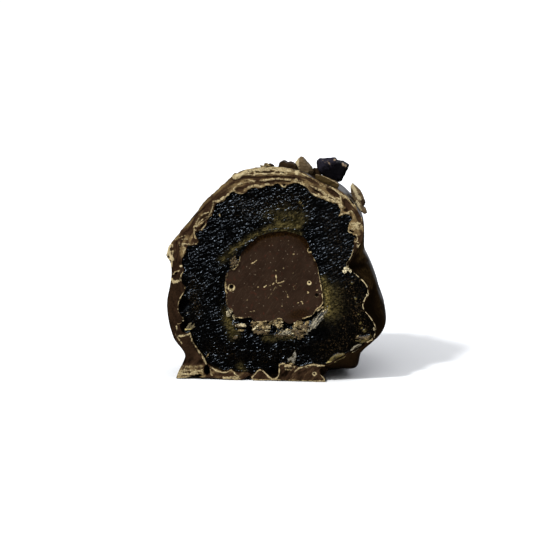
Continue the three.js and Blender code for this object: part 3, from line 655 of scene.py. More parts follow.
# Lines on the cut where chocolate has flaked: half width, how far it stands out, how pale it is, and its
# points
TAN_LINES = (
    (0.5, 0.1, 0.5, ((-5.6, 13.8), (-4.6, 14.4), (-3.4, 14.8), (-2, 15.0), (-0.7, 15.1), (0.6, 15.0),
     (1.8, 14.9), (2.8, 14.6))),
    (0.14, 0.12, 0.6, ((-4.9, 14.1), (-4.2, 14.2), (-3, 14.1), (-2.5, 14.25), (-2, 14.3), (-1.5, 14.25),
     (-1, 14.3), (-0.5, 14.4))),
    (0.14, 0.12, 0.6, ((-0.5, 14.4), (0, 14.35), (0.6, 14.25), (1, 14.4), (1.3, 14.2), (1.7, 14.35),
     (2.2, 14.4), (3, 14.3))),
    (0.14, 0.12, 0.3, ((-5.7, 11.9), (-5.6, 12.3), (-5.2, 12.65), (-4.65, 13.0), (-4.3, 13.3),
     (-3.5, 13.4), (-3, 13.27))),
    (0.13, 0.12, 0.3, ((-3, 13.27), (-2, 13.34), (-1.5, 13.35), (-1, 13.47), (-0.5, 13.55), (0.5, 13.65),
     (1, 13.6), (1.5, 13.5))),
    (0.16, 0.12, 0.3, ((1.5, 13.5), (2.4, 13.58), (3.0, 13.45))),
    (0.12, 0.1, 0.1, ((-4.9, 12.75), (-4.3, 13.1), (-3.7, 13.1), (-3, 13.2))),
    (0.17, 0.12, 0.2, ((-4.2, 11.9), (-3.9, 12.2), (-3.5, 12.45), (-3, 12.6), (-2.5, 12.65), (-2, 12.5),
     (-1.7, 12.6))),
    (0.16, 0.12, 0.2, ((-1.7, 12.6), (-1.3, 12.8), (-1, 12.85), (-0.5, 12.8), (-0.1, 12.75))),
    (0.13, 0.06, 0.0, ((-5.6, 12.0), (-5.4, 11.65), (-5.0, 11.55), (-4.4, 11.55), (-4.1, 11.75),
     (-4.1, 12.2))),
    (0.11, 0.1, 0.2, ((0.9, 12.75), (1.05, 12.5), (1.4, 12.5), (1.6, 12.75))),
    (0.2, 0.12, 0.2, ((1.8, 12.8), (2.3, 13.15), (2.9, 13.3), (3.4, 13.2), (3.8, 12.95))),
    (0.4, 0.1, 0.0, ((2.9, 13.4), (3.4, 13.35), (3.9, 13.1), (4.4, 12.8))),
    (0.1, 0.08, 1.0, ((3.2, 14.6), (4.0, 14.2), (4.8, 13.8), (5.5, 13.4), (6.0, 13.15))),
    (0.22, 0.14, 0.4, ((5.9, 12.95), (6.6, 12.8), (7.2, 12.7), (7.8, 12.45), (8.4, 12.15), (8.9, 11.75),
     (9.3, 11.5), (9.8, 11.4))),
    (0.26, 0.14, 0.1, ((4.9, 12.8), (5.5, 12.45), (6.2, 12.15), (6.9, 11.6), (7.6, 11.3), (8.2, 11.1),
     (8.8, 10.95))),
    (0.16, 0.12, 0.3, ((4.4, 12.55), (4.85, 12.0), (5.2, 11.6), (5.8, 11.4), (6.5, 11.2))),
    (0.3, 0.14, 0.3, ((6.0, 11.35), (6.8, 11.0), (7.6, 10.8), (8.3, 10.75), (8.9, 10.5), (9.05, 9.9))),
    (0.16, 0.1, 0.2, ((8.95, 11.3), (9.05, 10.6), (9.15, 9.8), (9.1, 9.3))),
    (0.14, 0.1, 0.3, ((9.2, 11.4), (9.8, 11.2), (10.2, 10.8), (10.6, 10.3), (10.9, 9.9))),
    (0.15, 0.1, 0.4, ((9.9, 11.5), (10.5, 11.05), (10.95, 10.4), (11.3, 9.7), (11.6, 9.1), (11.85, 8.5),
     (11.9, 8.0))),
    (0.17, 0.14, 0.3, ((8.65, 8.5), (9.1, 8.85), (9.7, 9.0), (10.2, 9.0), (10.3, 9.4))),
    (0.15, 0.1, 0.2, ((10.3, 9.5), (10.6, 9.0), (10.85, 8.5), (10.7, 8.2))),
    (0.45, 0.12, 0.2, ((10.5, 7.4), (11.2, 7.5), (11.9, 7.4))),
    (0.28, 0.1, 0.1, ((10.2, 6.9), (11.0, 6.9), (11.8, 6.9))),
    (0.13, 0.1, 0.7, ((11.1, 7.65), (11.5, 7.75), (11.85, 7.9))),
    (0.13, 0.12, 0.4, ((10.1, 6.8), (10.0, 6.55), (10.3, 6.35), (10.7, 6.3))),
    (0.12, 0.1, 0.4, ((10.9, 6.1), (11.2, 6.0), (11.35, 5.6), (11.25, 5.2), (11.0, 5.05))),
    (0.15, 0.08, 0.2, ((10.75, 5.7), (10.8, 5.3), (11.1, 5.0), (11.5, 5.0))),
    (0.14, 0.1, 0.5, ((11.1, 4.9), (11.3, 4.6), (11.5, 4.35), (11.75, 4.7), (12.0, 4.9))),
    (0.06, 0.06, 0.8, ((10.85, 4.6), (10.75, 4.2), (10.65, 3.7), (10.5, 3.1), (10.2, 2.55), (9.9, 2.2),
     (9.8, 1.8))),
    (0.28, 0.28, 0.9, ((9.4, 1.15), (9.6, 1.5), (9.95, 1.6), (10.3, 1.45), (10.5, 1.15))),
    (0.07, 0.05, 0.9, ((10.5, 1.1), (11.0, 0.7), (11.5, 0.2), (12.1, -0.3), (12.5, -0.8), (12.8, -1.3),
     (12.8, -1.9), (12.9, -2.2))),
    (0.07, 0.05, 0.8, ((12.9, -2.2), (12.5, -2.6), (12.25, -3.2), (12.1, -3.7), (12.2, -4.2),
     (12.6, -4.75), (13.15, -5.4))),
    (0.07, 0.05, 0.8, ((13.15, -5.4), (13.6, -6.0), (13.85, -6.6), (13.95, -7.0), (13.85, -7.55),
     (13.7, -8.1), (13.8, -8.25))),
    (0.25, 0.1, 0.1, ((11.3, -8.45), (12.2, -8.6), (13.0, -8.65), (13.4, -8.4))),
    (0.14, 0.1, 0.1, ((-5.75, 11.85), (-6.15, 11.65), (-6.55, 11.25), (-6.75, 10.95))),
    (0.26, 0.14, 0.2, ((-8.5, 10.35), (-8.2, 10.45), (-7.7, 10.5), (-7.3, 10.75), (-7.15, 10.95))),
    (0.14, 0.08, 0.2, ((-8.45, 10.1), (-8.65, 9.5), (-8.8, 9.0), (-9.0, 8.5), (-9.2, 8.15))),
    (0.11, 0.1, 0.1, ((-10.95, 6.9), (-10.95, 7.3), (-10.6, 7.95), (-10.2, 8.4), (-9.7, 8.7),
     (-9.2, 8.85))),
    (0.11, 0.1, 0.2, ((-10.8, 7.1), (-10.3, 7.6), (-9.8, 8.0), (-9.4, 8.25), (-9.1, 8.3))),
    (0.11, 0.1, 0.0, ((-10.85, 6.85), (-10.5, 7.15), (-10.1, 7.4), (-9.7, 7.75), (-9.4, 7.9))),
    (0.13, 0.1, 0.1, ((-11.05, 6.35), (-10.6, 6.35), (-10.2, 6.45), (-9.85, 6.8), (-9.5, 7.25))),
    (0.14, 0.06, 0.0, ((-11.1, 7.0), (-11.2, 6.5), (-11.2, 6.1), (-11.15, 5.7), (-11.0, 5.3))),
    (0.17, 0.12, 0.3, ((-12.85, 4.45), (-12.3, 4.4), (-11.7, 4.38), (-11.2, 4.5), (-10.8, 4.4))),
    (0.16, 0.1, 0.2, ((-12.85, 4.4), (-12.65, 4.0), (-12.45, 3.7))),
    (0.22, 0.1, 0.2, ((-12.6, 3.6), (-12.7, 3.1), (-12.95, 2.7))),
    (0.45, 0.1, 0.7, ((-14.5, 4.3), (-14.7, 3.6), (-14.65, 3.0), (-14.5, 2.4))),
    (0.14, 0.08, 0.2, ((-14.25, 4.3), (-14.15, 3.5), (-14.25, 2.6), (-14.35, 1.9), (-14.4, 1.2))),
    (0.11, 0.05, 0.0, ((-13.9, 5.0), (-13.2, 5.3), (-12.5, 5.6))),
    (0.11, 0.05, 0.0, ((-12.9, 5.0), (-12.2, 5.1), (-11.5, 5.3))),
    (0.11, 0.05, 0.0, ((-13.3, 4.6), (-13.15, 3.9), (-13.1, 3.1))),
    (0.15, 0.05, 1.0, ((-13.1, 1.3), (-13.0, 1.33))),
    (0.12, 0.08, 0.0, ((-14.15, 0.1), (-13.95, 0.45), (-13.55, 0.6), (-13.3, 0.6))),
    (0.12, 0.08, 0.2, ((-12.75, 0.5), (-13.05, 0.05), (-13.15, -0.45))),
    (0.22, 0.08, 0.5, ((-14.35, -0.65), (-14.1, -0.95), (-13.7, -0.9), (-13.35, -0.75), (-13.05, -0.75))),
    (0.09, 0.06, 0.2, ((-12.5, -1.6), (-12.5, -2.0), (-12.75, -2.45), (-13.05, -2.9), (-13.35, -3.65),
     (-13.55, -4.5))),
    (0.09, 0.06, 0.2, ((-13.55, -4.5), (-13.45, -5.2), (-13.15, -5.75), (-12.75, -6.05))),
    (0.16, 0.1, 0.3, ((-13.65, -8.5), (-13.2, -8.6), (-12.7, -8.5), (-12.15, -8.3), (-11.85, -8.15))),
    (0.11, 0.05, 0.0, ((-13.75, -7.2), (-13.7, -7.7), (-13.9, -8.2))),
    (0.12, 0.03, 0.1, ((-13.9, -8.3), (-13.5, -8.9), (-13.0, -9.6))),
    (0.13, 0.06, 0.2, ((-11.8, -8.1), (-11.7, -8.7), (-11.55, -9.2), (-11.25, -9.75), (-10.85, -10.3),
     (-10.4, -10.95))),
    (0.13, 0.06, 0.2, ((-10.4, -10.95), (-10.0, -11.55), (-9.8, -11.95), (-9.6, -12.4))),
    (0.16, 0.1, 0.0, ((-13.2, -12.85), (-12.0, -12.9), (-11.0, -12.85), (-10.3, -12.75))),
    (0.22, 0.12, 0.2, ((-13.4, -13.5), (-12.4, -13.35), (-11.4, -13.4), (-10.4, -13.45))),
    (0.24, 0.12, 0.3, ((-13.5, -14.0), (-12.6, -13.95), (-11.6, -13.9), (-10.9, -13.75))),
    (0.18, 0.08, 0.0, ((-13.6, -14.45), (-12.6, -14.4), (-11.6, -14.3))),
    (0.11, 0.06, 0.0, ((-10.2, -13.3), (-10.15, -14.0), (-10.1, -14.5))),
    (0.14, 0.1, 0.3, ((-9.0, -12.8), (-8.54, -13.15), (-8.0, -13.45), (-7.2, -13.6), (-6.6, -13.5),
     (-6.1, -13.25))),
    (0.14, 0.1, 0.3, ((-6.1, -13.25), (-5.6, -13.65), (-5.15, -14.05), (-4.8, -14.5))),
    (0.32, 0.1, 0.2, ((-7.1, -14.3), (-6.2, -14.25), (-5.3, -14.45))),
    (0.12, 0.06, 0.0, ((-9.0, -12.8), (-9.05, -13.5), (-8.8, -14.0))),
    (0.11, 0.08, 0.4, ((-3.5, -14.3), (-3.1, -14.15), (-2.75, -13.7), (-2.45, -13.3), (-2.1, -13.1),
     (-1.65, -13.25), (-1.3, -13.6))),
    (0.13, 0.08, 0.4, ((-1.3, -13.6), (-0.9, -14.0), (-0.5, -14.3), (-0.1, -14.4), (0.25, -14.2),
     (0.55, -13.85))),
    (0.12, 0.08, 0.3, ((0.55, -13.85), (0.6, -13.5), (0.6, -12.9), (0.65, -12.4))),
    (0.22, 0.1, 0.2, ((0.55, -12.35), (0.8, -12.2), (1.2, -12.15))),
    (0.15, 0.08, 0.3, ((3.2, -12.8), (3.9, -12.55), (4.4, -12.4), (4.9, -12.28), (5.4, -12.23),
     (5.9, -12.33), (6.8, -12.36))),
    (0.08, 0.04, 0.4, ((6.84, -12.36), (6.43, -12.7), (6.3, -13.1), (6.4, -13.6), (6.7, -14.0),
     (7.1, -14.5))),
    (0.13, 0.03, 0.0, ((-3.3, -14.52), (-1, -14.52), (2, -14.52), (5, -14.52), (7.1, -14.52))),
    (0.14, 0.05, 0.1, ((1.5, -12.95), (1.9, -13.05), (2.4, -12.95))),
    (0.1, 0.05, 0.8, ((2.7, -13.3), (3.0, -13.0), (3.3, -12.75))),
    (0.25, 0.08, 0.1, ((1.5, -12.45), (2.1, -12.5), (2.7, -12.6))),
)
# Smooth hollows in the broken edge: place, half length, half width, tilt, depth and shade from black to
# light brown; the darkest are painted shade in their hollows
DENTS = (
    (7.95, 11.8, 1.15, 0.36, -33, 0.3, 0.4), (9.85, 10.25, 0.9, 0.45, -58, 0.3, 0.45),
    (9.7, 9.4, 0.4, 0.25, 0, 0.3, 0.35), (11.4, 8.6, 1.0, 0.36, -72, 0.25, 0.5),
    (11.85, 5.6, 0.55, 0.42, 90, 0.2, 0.5), (10.5, 10.6, 0.5, 0.1, -50, 0.3, 0.1),
    (11.02, 5.75, 0.26, 0.16, -60, 0.6, 0.0), (10.5, 6.5, 0.35, 0.13, -15, 0.3, 0.1),
    (5.0, 13.42, 1.15, 0.25, -28, 0.15, 0.48), (5.6, 12.0, 0.6, 0.09, -32, 0.2, 0.2),
    (-4.85, 12.05, 0.6, 0.38, -5, 0.3, 0.5), (-4.0, 13.25, 0.3, 0.1, 10, 0.1, 0.5),
    (1.25, 12.75, 0.18, 0.12, 0, 0.5, 0.0), (-9.95, 8.15, 0.55, 0.15, 38, 0.12, 0.3),
    (-10.0, 7.0, 0.5, 0.18, 40, 0.2, 0.15), (-14.75, 2.55, 0.2, 0.12, -60, 0.2, 0.05),
    (-13.7, 0.28, 0.16, 0.12, 0, 0.4, 0.0), (-13.95, -0.2, 0.4, 0.35, 0, 0.2, 0.25),
    (-10.8, -14.15, 0.6, 0.2, 10, 0.4, 0.05), (-9.5, -13.35, 0.8, 0.45, 90, 1.2, 0.0),
    (-7.0, -13.95, 1.4, 0.25, 0, 0.1, 0.45), (0.95, -12.65, 0.35, 0.3, 0, 0.1, 0.4),
)
# Brown grooves between the flaked layers: half width, shade and points
GROOVES = (
    (0.2, 0.3, ((-5.6, 13.35), (-4.8, 13.65), (-4, 13.78), (-2, 13.78), (0, 13.88), (1.5, 13.88),
     (2.6, 13.78))),
    (0.17, 0.45, ((-2.0, 13.1), (-0.5, 13.25), (1.0, 13.3), (2.2, 13.25))),
    (0.08, 0.2, ((-2.8, 14.5), (-1.5, 14.53), (-0.5, 14.56), (0.8, 14.57), (1.2, 14.45))),
    (0.12, 0.35, ((-13.6, 4.8), (-13.65, 3.5), (-13.75, 2.8))),
    (0.14, 0.4, ((-12.6, 5.9), (-11.9, 6.3), (-11.4, 7.3), (-10.7, 8.6), (-9.6, 9.6), (-9.0, 10.2))),
)
# Bubbles in the foot: place, outer radius and hole
FOOT_BUBBLES = ((5.48, -13.5, 0.34, 0.12), (4.37, -12.55, 0.16, 0.05))
# How light the broken edge is round the cut: degrees and shade
EDGE_TONE = (
    (2, 0.1), (17, 0.14), (22, 0.3), (30, 0.65), (45, 0.7), (60, 0.6), (75, 0.6), (95, 0.55), (112, 0.58),
    (120, 0.5), (135, 0.42), (150, 0.4), (160, 0.5), (168, 0.46), (174, 0.26), (184, 0.24), (206, 0.24),
    (212, 0.23), (222, 0.2), (230, 0.2), (238, 0.5), (252, 0.4), (258, 0.3), (296, 0.29), (302, 0.12),
    (340, 0.1),
)
THIN_LINE = 0.1  # half width below which a line is broken into knots
FOOT_STREAK_TILT = 45
EDGE_CRUMBS, STREAK_DEPTH, GROOVE_DEPTH, GAP_DEPTH = 0.07, 0.05, 0.14, 0.07  # relief of the broken edge
COAT_TURNS, WALL_ROWS, EDGE_ROWS, OUTSIDE_ROWS = 840, 9, 28, 66


def coat_edge_marks(x, high):
    """Marks on the broken edge: tan flakes, how pale they are, shade, painted shade in the darkest dents,
    and each point's set-back.
    """
    ragged = lumps(x, 0, high, 0.4, 11)
    tan, pale, halo, holes = np.zeros((4, *np.shape(x)))
    degrees = np.mod(np.degrees(np.arctan2(high, x)), 360)
    out = np.hypot(x, high)
    streaks = lumps(0.18 * degrees, 2.6 * out, 0, 1.0, 12)
    streaks = streaks + 0.6 * lumps(0.35 * degrees, 6 * out, 0, 1.0, 14)
    foot_along, foot_across = turned(x, high, FOOT_STREAK_TILT)
    foot_streaks = lumps(0.4 * foot_along, 0, foot_across, 0.35, 13)
    foot_streaks = foot_streaks + 0.8 * lumps(0.15 * foot_along, 0, foot_across, 0.16, 17)
    on_foot = smooth(-high, 11, 12.5)
    broken_part = between(degrees, *FLAKED_ARC) + smooth(degrees, 223, 226)
    contrast = lerp(0.07, 0.22, broken_part)
    shade = radius_at(EDGE_TONE, degrees) + contrast * lerp(streaks, foot_streaks, on_foot)
    shade = shade + 0.35 * smooth(-high, 12.4, 12.9) * smooth(-x, 9.2, 9.9)
    outer = fade(radius_at(COAT_EDGE, degrees) - out, 0.15, 0.7)
    shade = shade + 0.28 * outer * smooth(degrees, 112, 120) * fade(degrees, 160, 170)  # a pale rim
    back = STREAK_DEPTH * broken_part * streaks
    for half, level, points in GROOVES:
        groove = fade(from_line(x, high, points) + 0.05 * ragged, 0.5 * half, half)
        shade = lerp(shade, level, groove)
        back = back + GROOVE_DEPTH * groove
    fine = lumps(x, 0, high, 0.16, 18)
    whole = lerp(0.5, 1, smooth(lumps(x, 0, high, 0.6, 19), -0.45, 0.05))
    knots = lerp(0.25, 1, smooth(lumps(x, 0, high, 0.34, 29), -0.4, 0.2))
    layers = lumps(0.22 * degrees, 6.5 * out, 0, 1.0, 16) + 0.5 * lumps(x, 0, high, 0.13, 20)
    gaps = between(degrees, 22, 32, 168, 176) * smooth(layers, 0.15, 0.65)
    crests = smooth(-layers, 0.2, 0.7)
    for half, lift, light, points in TAN_LINES:
        distance = from_line(x, high, points)
        near = distance + half * (0.45 * ragged + 0.25 * fine)
        line = (knots if half < THIN_LINE else whole) * fade(near, 0.4 * half, 1.1 * half)
        tan = np.maximum(tan, line * (1 - 0.75 * gaps))
        pale = np.maximum(pale, (light + 0.5 * crests) * line)
        halo = np.maximum(halo, fade(distance, half, half + 0.45))
        back = np.minimum(back, lerp(back, -lift, line))
    shade = shade + 0.2 * halo * (0.6 + streaks) * smooth(shade, 0.3, 0.55)
    for *oval, deep, level in DENTS:
        near = from_oval(x, high, *oval) + 0.12 * ragged
        dent = fade(near, 0.8, 1.05)
        tan = tan * (1 - dent)
        shade = lerp(shade, level, dent)
        back = lerp(back, deep, fade(near, 0.5, 1.1))
        # Dents near black are painted shade in their hollows.
        holes = np.maximum(holes, dent * max(0, 1 - 6 * level))
    for ring_x, ring_high, radius, hole in FOOT_BUBBLES:
        near = np.hypot(x - ring_x, high - ring_high)
        ring = fade(near, 0.8 * radius, radius) * smooth(near, hole, 1.6 * hole)
        tan, pale = np.maximum(tan, ring), np.maximum(pale, 0.7 * ring)
        back = back - 0.06 * ring + 0.15 * fade(near, hole, 1.6 * hole)
    return tan, pale, shade, holes, back + 0.015 * ragged + GAP_DEPTH * gaps


def coat_wear(turn, depth, scuffs):
    """Where the skin is worn to a lighter brown, given degrees round from below."""
    upper = smooth(turn + 3 * scuffs, 93, 101) * fade(turn, 116, 128) * smooth(depth + scuffs, 1, 3)
    lower = smooth(turn + 6 * scuffs, 50, 66) * fade(turn, 96, 104) * smooth(depth + scuffs, 2, 4)
    middle = between(turn + 2 * scuffs, 82, 86, 92, 96) * smooth(depth, 0.2, 1)
    worn = np.max((upper, 0.5 * lower, 0.75 * middle), axis=0) * fade(depth + 1.5 * scuffs, 5.5, 9)
    crack = hump(turn - 84 - 2 * scuffs, 0, 1.2) * fade(depth, 2, 4)
    return np.maximum(worn, crack)


def chocolate_coat():
    coat, degrees, row = add_net("coat", COAT_TURNS, WALL_ROWS + EDGE_ROWS + OUTSIDE_ROWS)
    in_wall = row < WALL_ROWS
    outside = row > WALL_ROWS + EDGE_ROWS
    edge = ~in_wall & ~outside
    wall_depth = FLESH_LENGTH * (1 - row / WALL_ROWS).clip(0, 1) ** 2
    across = 1 - ((row - WALL_ROWS) / EDGE_ROWS).clip(0, 1)
    behind = ((row - WALL_ROWS - EDGE_ROWS) / OUTSIDE_ROWS).clip(0, 1)
    depth = COAT_LENGTH * lerp(behind**2, np.sin(behind * math.pi / 2), behind)
    inner_x, inner_z = flesh_wall(degrees, np.where(in_wall, wall_depth, 0))
    outer_x, outer_z = coat_outside(degrees, depth)
    x = over_cut(edge, outer_x, inner_x, across, outside)
    z = over_cut(edge, outer_z, inner_z, across, outside)
    high = z - AXIS_HEIGHT
    bite = hump(high, FOOT_BITE_HIGH, FOOT_BITE_HALF) * fade(depth, 1.5, 4)
    bitten = ~in_wall & (degrees >= FOOT_BITE_ARC[0]) & (degrees <= FOOT_BITE_ARC[1])
    x = x - np.where(bitten, FOOT_BITE * bite * smooth(x, 4.6, 6.6), 0)
    tan, pale, shade, holes, back = coat_edge_marks(x, high)
    crumbs = between(degrees, *FLAKED_ARC) * EDGE_CRUMBS * lumps(x, 0, z, 0.24, 15)
    relief = (back + crumbs) * lerp(0.4, 1, smooth(across, 0, 0.1))
    set_points(coat, x, np.where(edge, relief, np.where(in_wall, wall_depth, depth)), z)

    near_cut = np.where(outside, fade(depth, 0.05, 0.4), 1.0)
    # Painted shade: near black in the hollow behind the thin edge at the right, on the hidden wall under
    # the flesh and in the darkest dents.
    painted_shade = hump(degrees, 12, 7) + hump(degrees, 344, 6)
    painted_shade = np.where(outside, 0.8 * painted_shade * fade(depth, 0.5, 2.5), np.where(in_wall, 0.9, holes))
    from_below = np.mod(degrees + 90, 360)
    # The right side behind the cut is made dull, and painted darker where it turns from the light: painted
    # shade.
    right_side = np.where(outside, between(from_below, 15, 35, 108, 122) * fade(depth, 3, 5.5), 0)
    scuffs = lumps(x, depth, z, 1.4, 52) + 0.6 * lumps(x, depth, z, 0.6, 53)
    worn = np.where(outside, coat_wear(from_below, depth, scuffs), 0)
    dark = np.maximum(painted_shade, 0.75 * right_side * smooth(from_below, 50, 68)) * (1 - 0.8 * worn)
    tan = np.where(in_wall, 0, tan) * near_cut
    foot = np.where(edge, smooth(-high, 12.2, 12.8) * smooth(x, -1, 3), 0)
    paint(coat, cut=near_cut, tan=tan, tone=shade, dark=dark)
    paint(coat, pale=pale, dull=right_side, worn=worn, foot=foot)
    close_net(coat)
    settle(coat, chocolate_finish(), "chocolate_coat")


# The flesh: the hollow for the filling, the cut face and the wall against the coat

FLESH_TURNS, HOLLOW_ROWS, FACE_ROWS, BACK_ROWS = 800, 7, 96, 9
GRAIN_TILT = 28  # degrees that the scales of the flesh rise to the right
FIBRE_TILT = 54
SCALE_PITCH = 0.5
# Light that comes through the flesh round the filling: how far it reaches, its strength and the line it
# comes from
GLOWS = (
    (0.65, 0.55, ((0.3, 7.2), (1.8, 7.35), (3.2, 7.3))),
    (0.45, 0.5, ((-1.6, 6.5), (-0.6, 6.85), (0.3, 7.1))),
    (0.45, 0.35, ((-2.4, 5.8), (-1.0, 6.3), (0.5, 6.55), (2.2, 6.4), (3.4, 6.1))),
    (1.0, 0.37, ((0.4, 8.3), (1.6, 8.6), (2.8, 8.4), (3.7, 8.2))),
    (0.9, 0.24, ((-1.3, 8.6), (0.2, 9.2), (1.5, 9.6))),
    (0.42, 0.48, ((-5.9, 3.7), (-4.6, 4.6), (-3.6, 5.3), (-2.5, 6.0))),
    (0.6, 0.4, ((-7.3, 2.2), (-6.5, 2.9), (-5.9, 3.7))),
    (0.55, 0.62, ((6.65, -0.2), (6.95, -1.5))),
    (0.8, 0.78, ((6.95, -1.7), (7.1, -2.6), (7.2, -3.6), (7.1, -4.8))),
    (1.4, 0.38, ((7.8, -2.2), (8.1, -3.6), (7.9, -5.0))),
    (0.7, 0.55, ((-6.7, -5.9), (-6.4, -6.6), (-6.1, -7.4), (-5.8, -8.2))),
    (0.6, 0.3, ((-7.0, -4.6), (-6.8, -5.6))),
    (0.55, 0.45, ((-1.4, -8.6), (-0.4, -8.75), (0.8, -8.4), (2.2, -8.4))),
    (0.6, 0.4, ((-5.0, -12.8), (-4.4, -13.4))),
)
# Where the flesh is browner, in the same way
BROWNS = (
    (1.5, 0.8, ((7.0, -10.6), (9.0, -9.6), (11.0, -8.6))),
    (1.6, 0.9, ((10.6, -0.6), (11.1, -2.8), (11.4, -4.9), (11.9, -6.4), (12.6, -7.5))),
    (1.6, 0.6, ((9.0, -2.0), (9.5, -5.0), (9.5, -7.0))),
    (1.5, 0.4, ((-5.0, 9.7), (-1.0, 10.0), (1.5, 10.4), (3.5, 10.4))),
    (1.5, 0.4, ((7.5, 7.5), (9.0, 4.0), (8.5, 1.0))),
    (1.0, 0.7, ((-11.4, -1.6), (-11.2, -3.2), (-10.8, -5.0))),
    (1.2, 0.25, ((-8.5, -10.5), (-5.0, -11.5), (-1.0, -11.5), (3.0, -10.5))),
)
# Beads of clear flesh: place and radius
BEADS = (
    (10.6, -0.7, 0.26), (11.1, -2.8, 0.28), (11.3, -3.5, 0.16), (11.5, -5.0, 0.2), (11.8, -6.3, 0.3),
    (12.4, -7.35, 0.38), (13.1, -8.1, 0.35), (12.0, -7.0, 0.2), (3.4, 10.4, 0.3), (3.8, 10.0, 0.2),
)
# Banks of crumbs pressed into the flesh: place, half width, half height and tilt
CRUMB_BANKS = (
    (-4.84, -6.95, 0.9, 0.3, 2), (-2.0, -7.2, 1.35, 1.0, 0), (0.1, -6.45, 1.0, 0.5, 10),
    (3.3, -7.35, 1.0, 1.3, 0), (4.3, -7.1, 0.6, 0.7, 30), (6.2, -4.35, 0.6, 0.4, 20),
    (-5.5, -8.6, 0.45, 0.2, 30), (-5.7, 1.95, 0.55, 1.0, -25), (12.2, -8.35, 1.1, 0.35, 10),
    (8.3, -11.1, 0.9, 0.25, 30), (1.0, -8.2, 1.3, 0.3, 5),
)
# Torn greyish fibres beside them, in the same way
FIBRES = (
    (5.8, -6.1, 2.2, 0.6, FIBRE_TILT), (1.3, -7.75, 1.2, 0.38, 5), (-6.4, -5.1, 0.32, 0.85, 12),
)
# Holes torn in the flesh: place, half width, half height and depth
TEARS = (
    (-12.7, -7.2, 0.75, 0.95, 1.4), (-0.2, -13.6, 0.65, 0.6, 1.2), (-12.6, -4.3, 0.8, 1.1, 0.7),
    (5.6, -5.05, 0.2, 0.5, 0.8), (-4.4, -6.4, 0.6, 0.25, 0.7), (-4.7, -7.35, 0.7, 0.2, 0.7),
    (-3.4, -7.7, 0.4, 0.5, 0.8), (0.0, -7.5, 0.35, 0.3, 0.7),
)
# Relief of the flesh: scales, grains, swells and fine grain, the hollow round the filling, the sag below,
# and how far crumbs and fibres stand out
SCALE_DEPTH, GRAIN_DEPTH, SWELL_DEPTH, FINE_DEPTH = 0.12, 0.03, 0.13, 0.008
HOLLOW_DEPTH, SAG_DEPTH = 0.6, 0.5
CRUMB_RISE, FIBRE_RISE = 0.35, 0.2


def flesh_scales(along, across, grains):
    """Overlapping scales of the flesh, given places along and across the way that they rise."""
    phase = across / SCALE_PITCH + 0.9 * lumps(0.55 * along, 0, across, 0.7, 21) + 0.1 * grains
    part = phase - np.floor(phase)
    scales = part - smooth(part, 0.72, 1.0)
    return scales * lerp(0.5, 1.2, 0.5 + 0.5 * lumps(0.6 * along, 0, across, 0.4, 27))


def flesh_face(x, high, out, from_filling):
    """Marks on the cut flesh: how far each point is set back, torn holes painted as shade, and the masks
    for its finish.
    """
    grains, swells = lumps(x, 0, high, 0.24, 22), lumps(x, 0, high, 1.6, 23)
    along, across = turned(x, high, GRAIN_TILT)
    fine = lumps(along, 0, across, 0.11, 24)
    glow, brown, crumb, fibre, pit = np.zeros((5, *np.shape(x)))
    for reach, strength, points in GLOWS:
        away = from_line(x, high, points) * (1 + 0.25 * swells) / reach
        glow = np.maximum(glow, strength * np.exp(-(away**1.6)))
    for reach, strength, points in BROWNS:
        away = from_line(x, high, points) * (1 + 0.4 * swells) / reach
        brown = np.maximum(brown, strength * np.exp(-(away**2)))
    calm = (1 - 0.85 * smooth(glow, 0.05, 0.45)) * (1 - 0.55 * smooth(x, 3, 9) * smooth(-high, -1, 3))
    scales = flesh_scales(along, across, grains)
    relief = (SCALE_DEPTH * scales + GRAIN_DEPTH * grains) * calm + SWELL_DEPTH * swells + FINE_DEPTH * fine
    hollow = HOLLOW_DEPTH * fade(from_filling, 0, 1.6) * smooth(-high, -2, 4)
    relief = relief + SAG_DEPTH * smooth(-high, 3, 11) * smooth(out, 0.3, 0.9) + hollow
    for bead_x, bead_high, radius in BEADS:
        near = np.hypot(x - bead_x, high - bead_high) + 0.15 * radius * grains
        bead = fade(near, 0.2 * radius, 1.1 * radius)
        relief = relief - 0.5 * radius * bead
        # Beads are painted with the light that comes through them: painted light.
        glow = np.maximum(glow, 0.75 * bead)
    flakes = lumps(0.55 * x, 0, high, 0.26, 25) + 0.6 * lumps(0.7 * x, 0, high, 0.13, 26)
    for oval in CRUMB_BANKS:
        crumb = np.maximum(crumb, fade(from_oval(x, high, *oval) + 0.25 * grains, 0.6, 1.15))
    for oval in FIBRES:
        torn = fade(from_oval(x, high, *oval) + 0.25 * grains, 0.55, 1.2)
        fibre = np.maximum(fibre, torn * lerp(0.55, 1, smooth(flakes, -1.0, 0.0)))
    crumb = crumb * smooth(flakes, -0.75, -0.1)
    relief = relief - CRUMB_RISE * crumb * (0.7 + 0.4 * flakes) - FIBRE_RISE * fibre
    # Tears are set back and painted black: painted shade in the holes.
    for *oval, deep in TEARS:
        tear = fade(from_oval(x, high, *oval, 0) + 0.3 * grains, 0.6, 1.1)
        relief = relief + deep * tear
        pit = np.maximum(pit, tear)
    grained = lerp(1, 0.5, smooth(x, 2, 8)) * lerp(1, 0.78, smooth(-high, 0, 9))
    grained = grained * calm * lerp(1, 0.85, smooth(high, 8, 10))
    grained = grained * lerp(0.45, 1.15, 0.5 + 0.5 * lumps(x, 0, high, 0.9, 28)) * (1 - 0.9 * pit)
    soft = smooth(x, 2, 8) * smooth(high, -2, 1) * (1 - glow)
    masks = dict(olive=glow, brown=brown, crumb=crumb, fibre=fibre, grained=grained, soft=soft)
    return relief, pit, masks


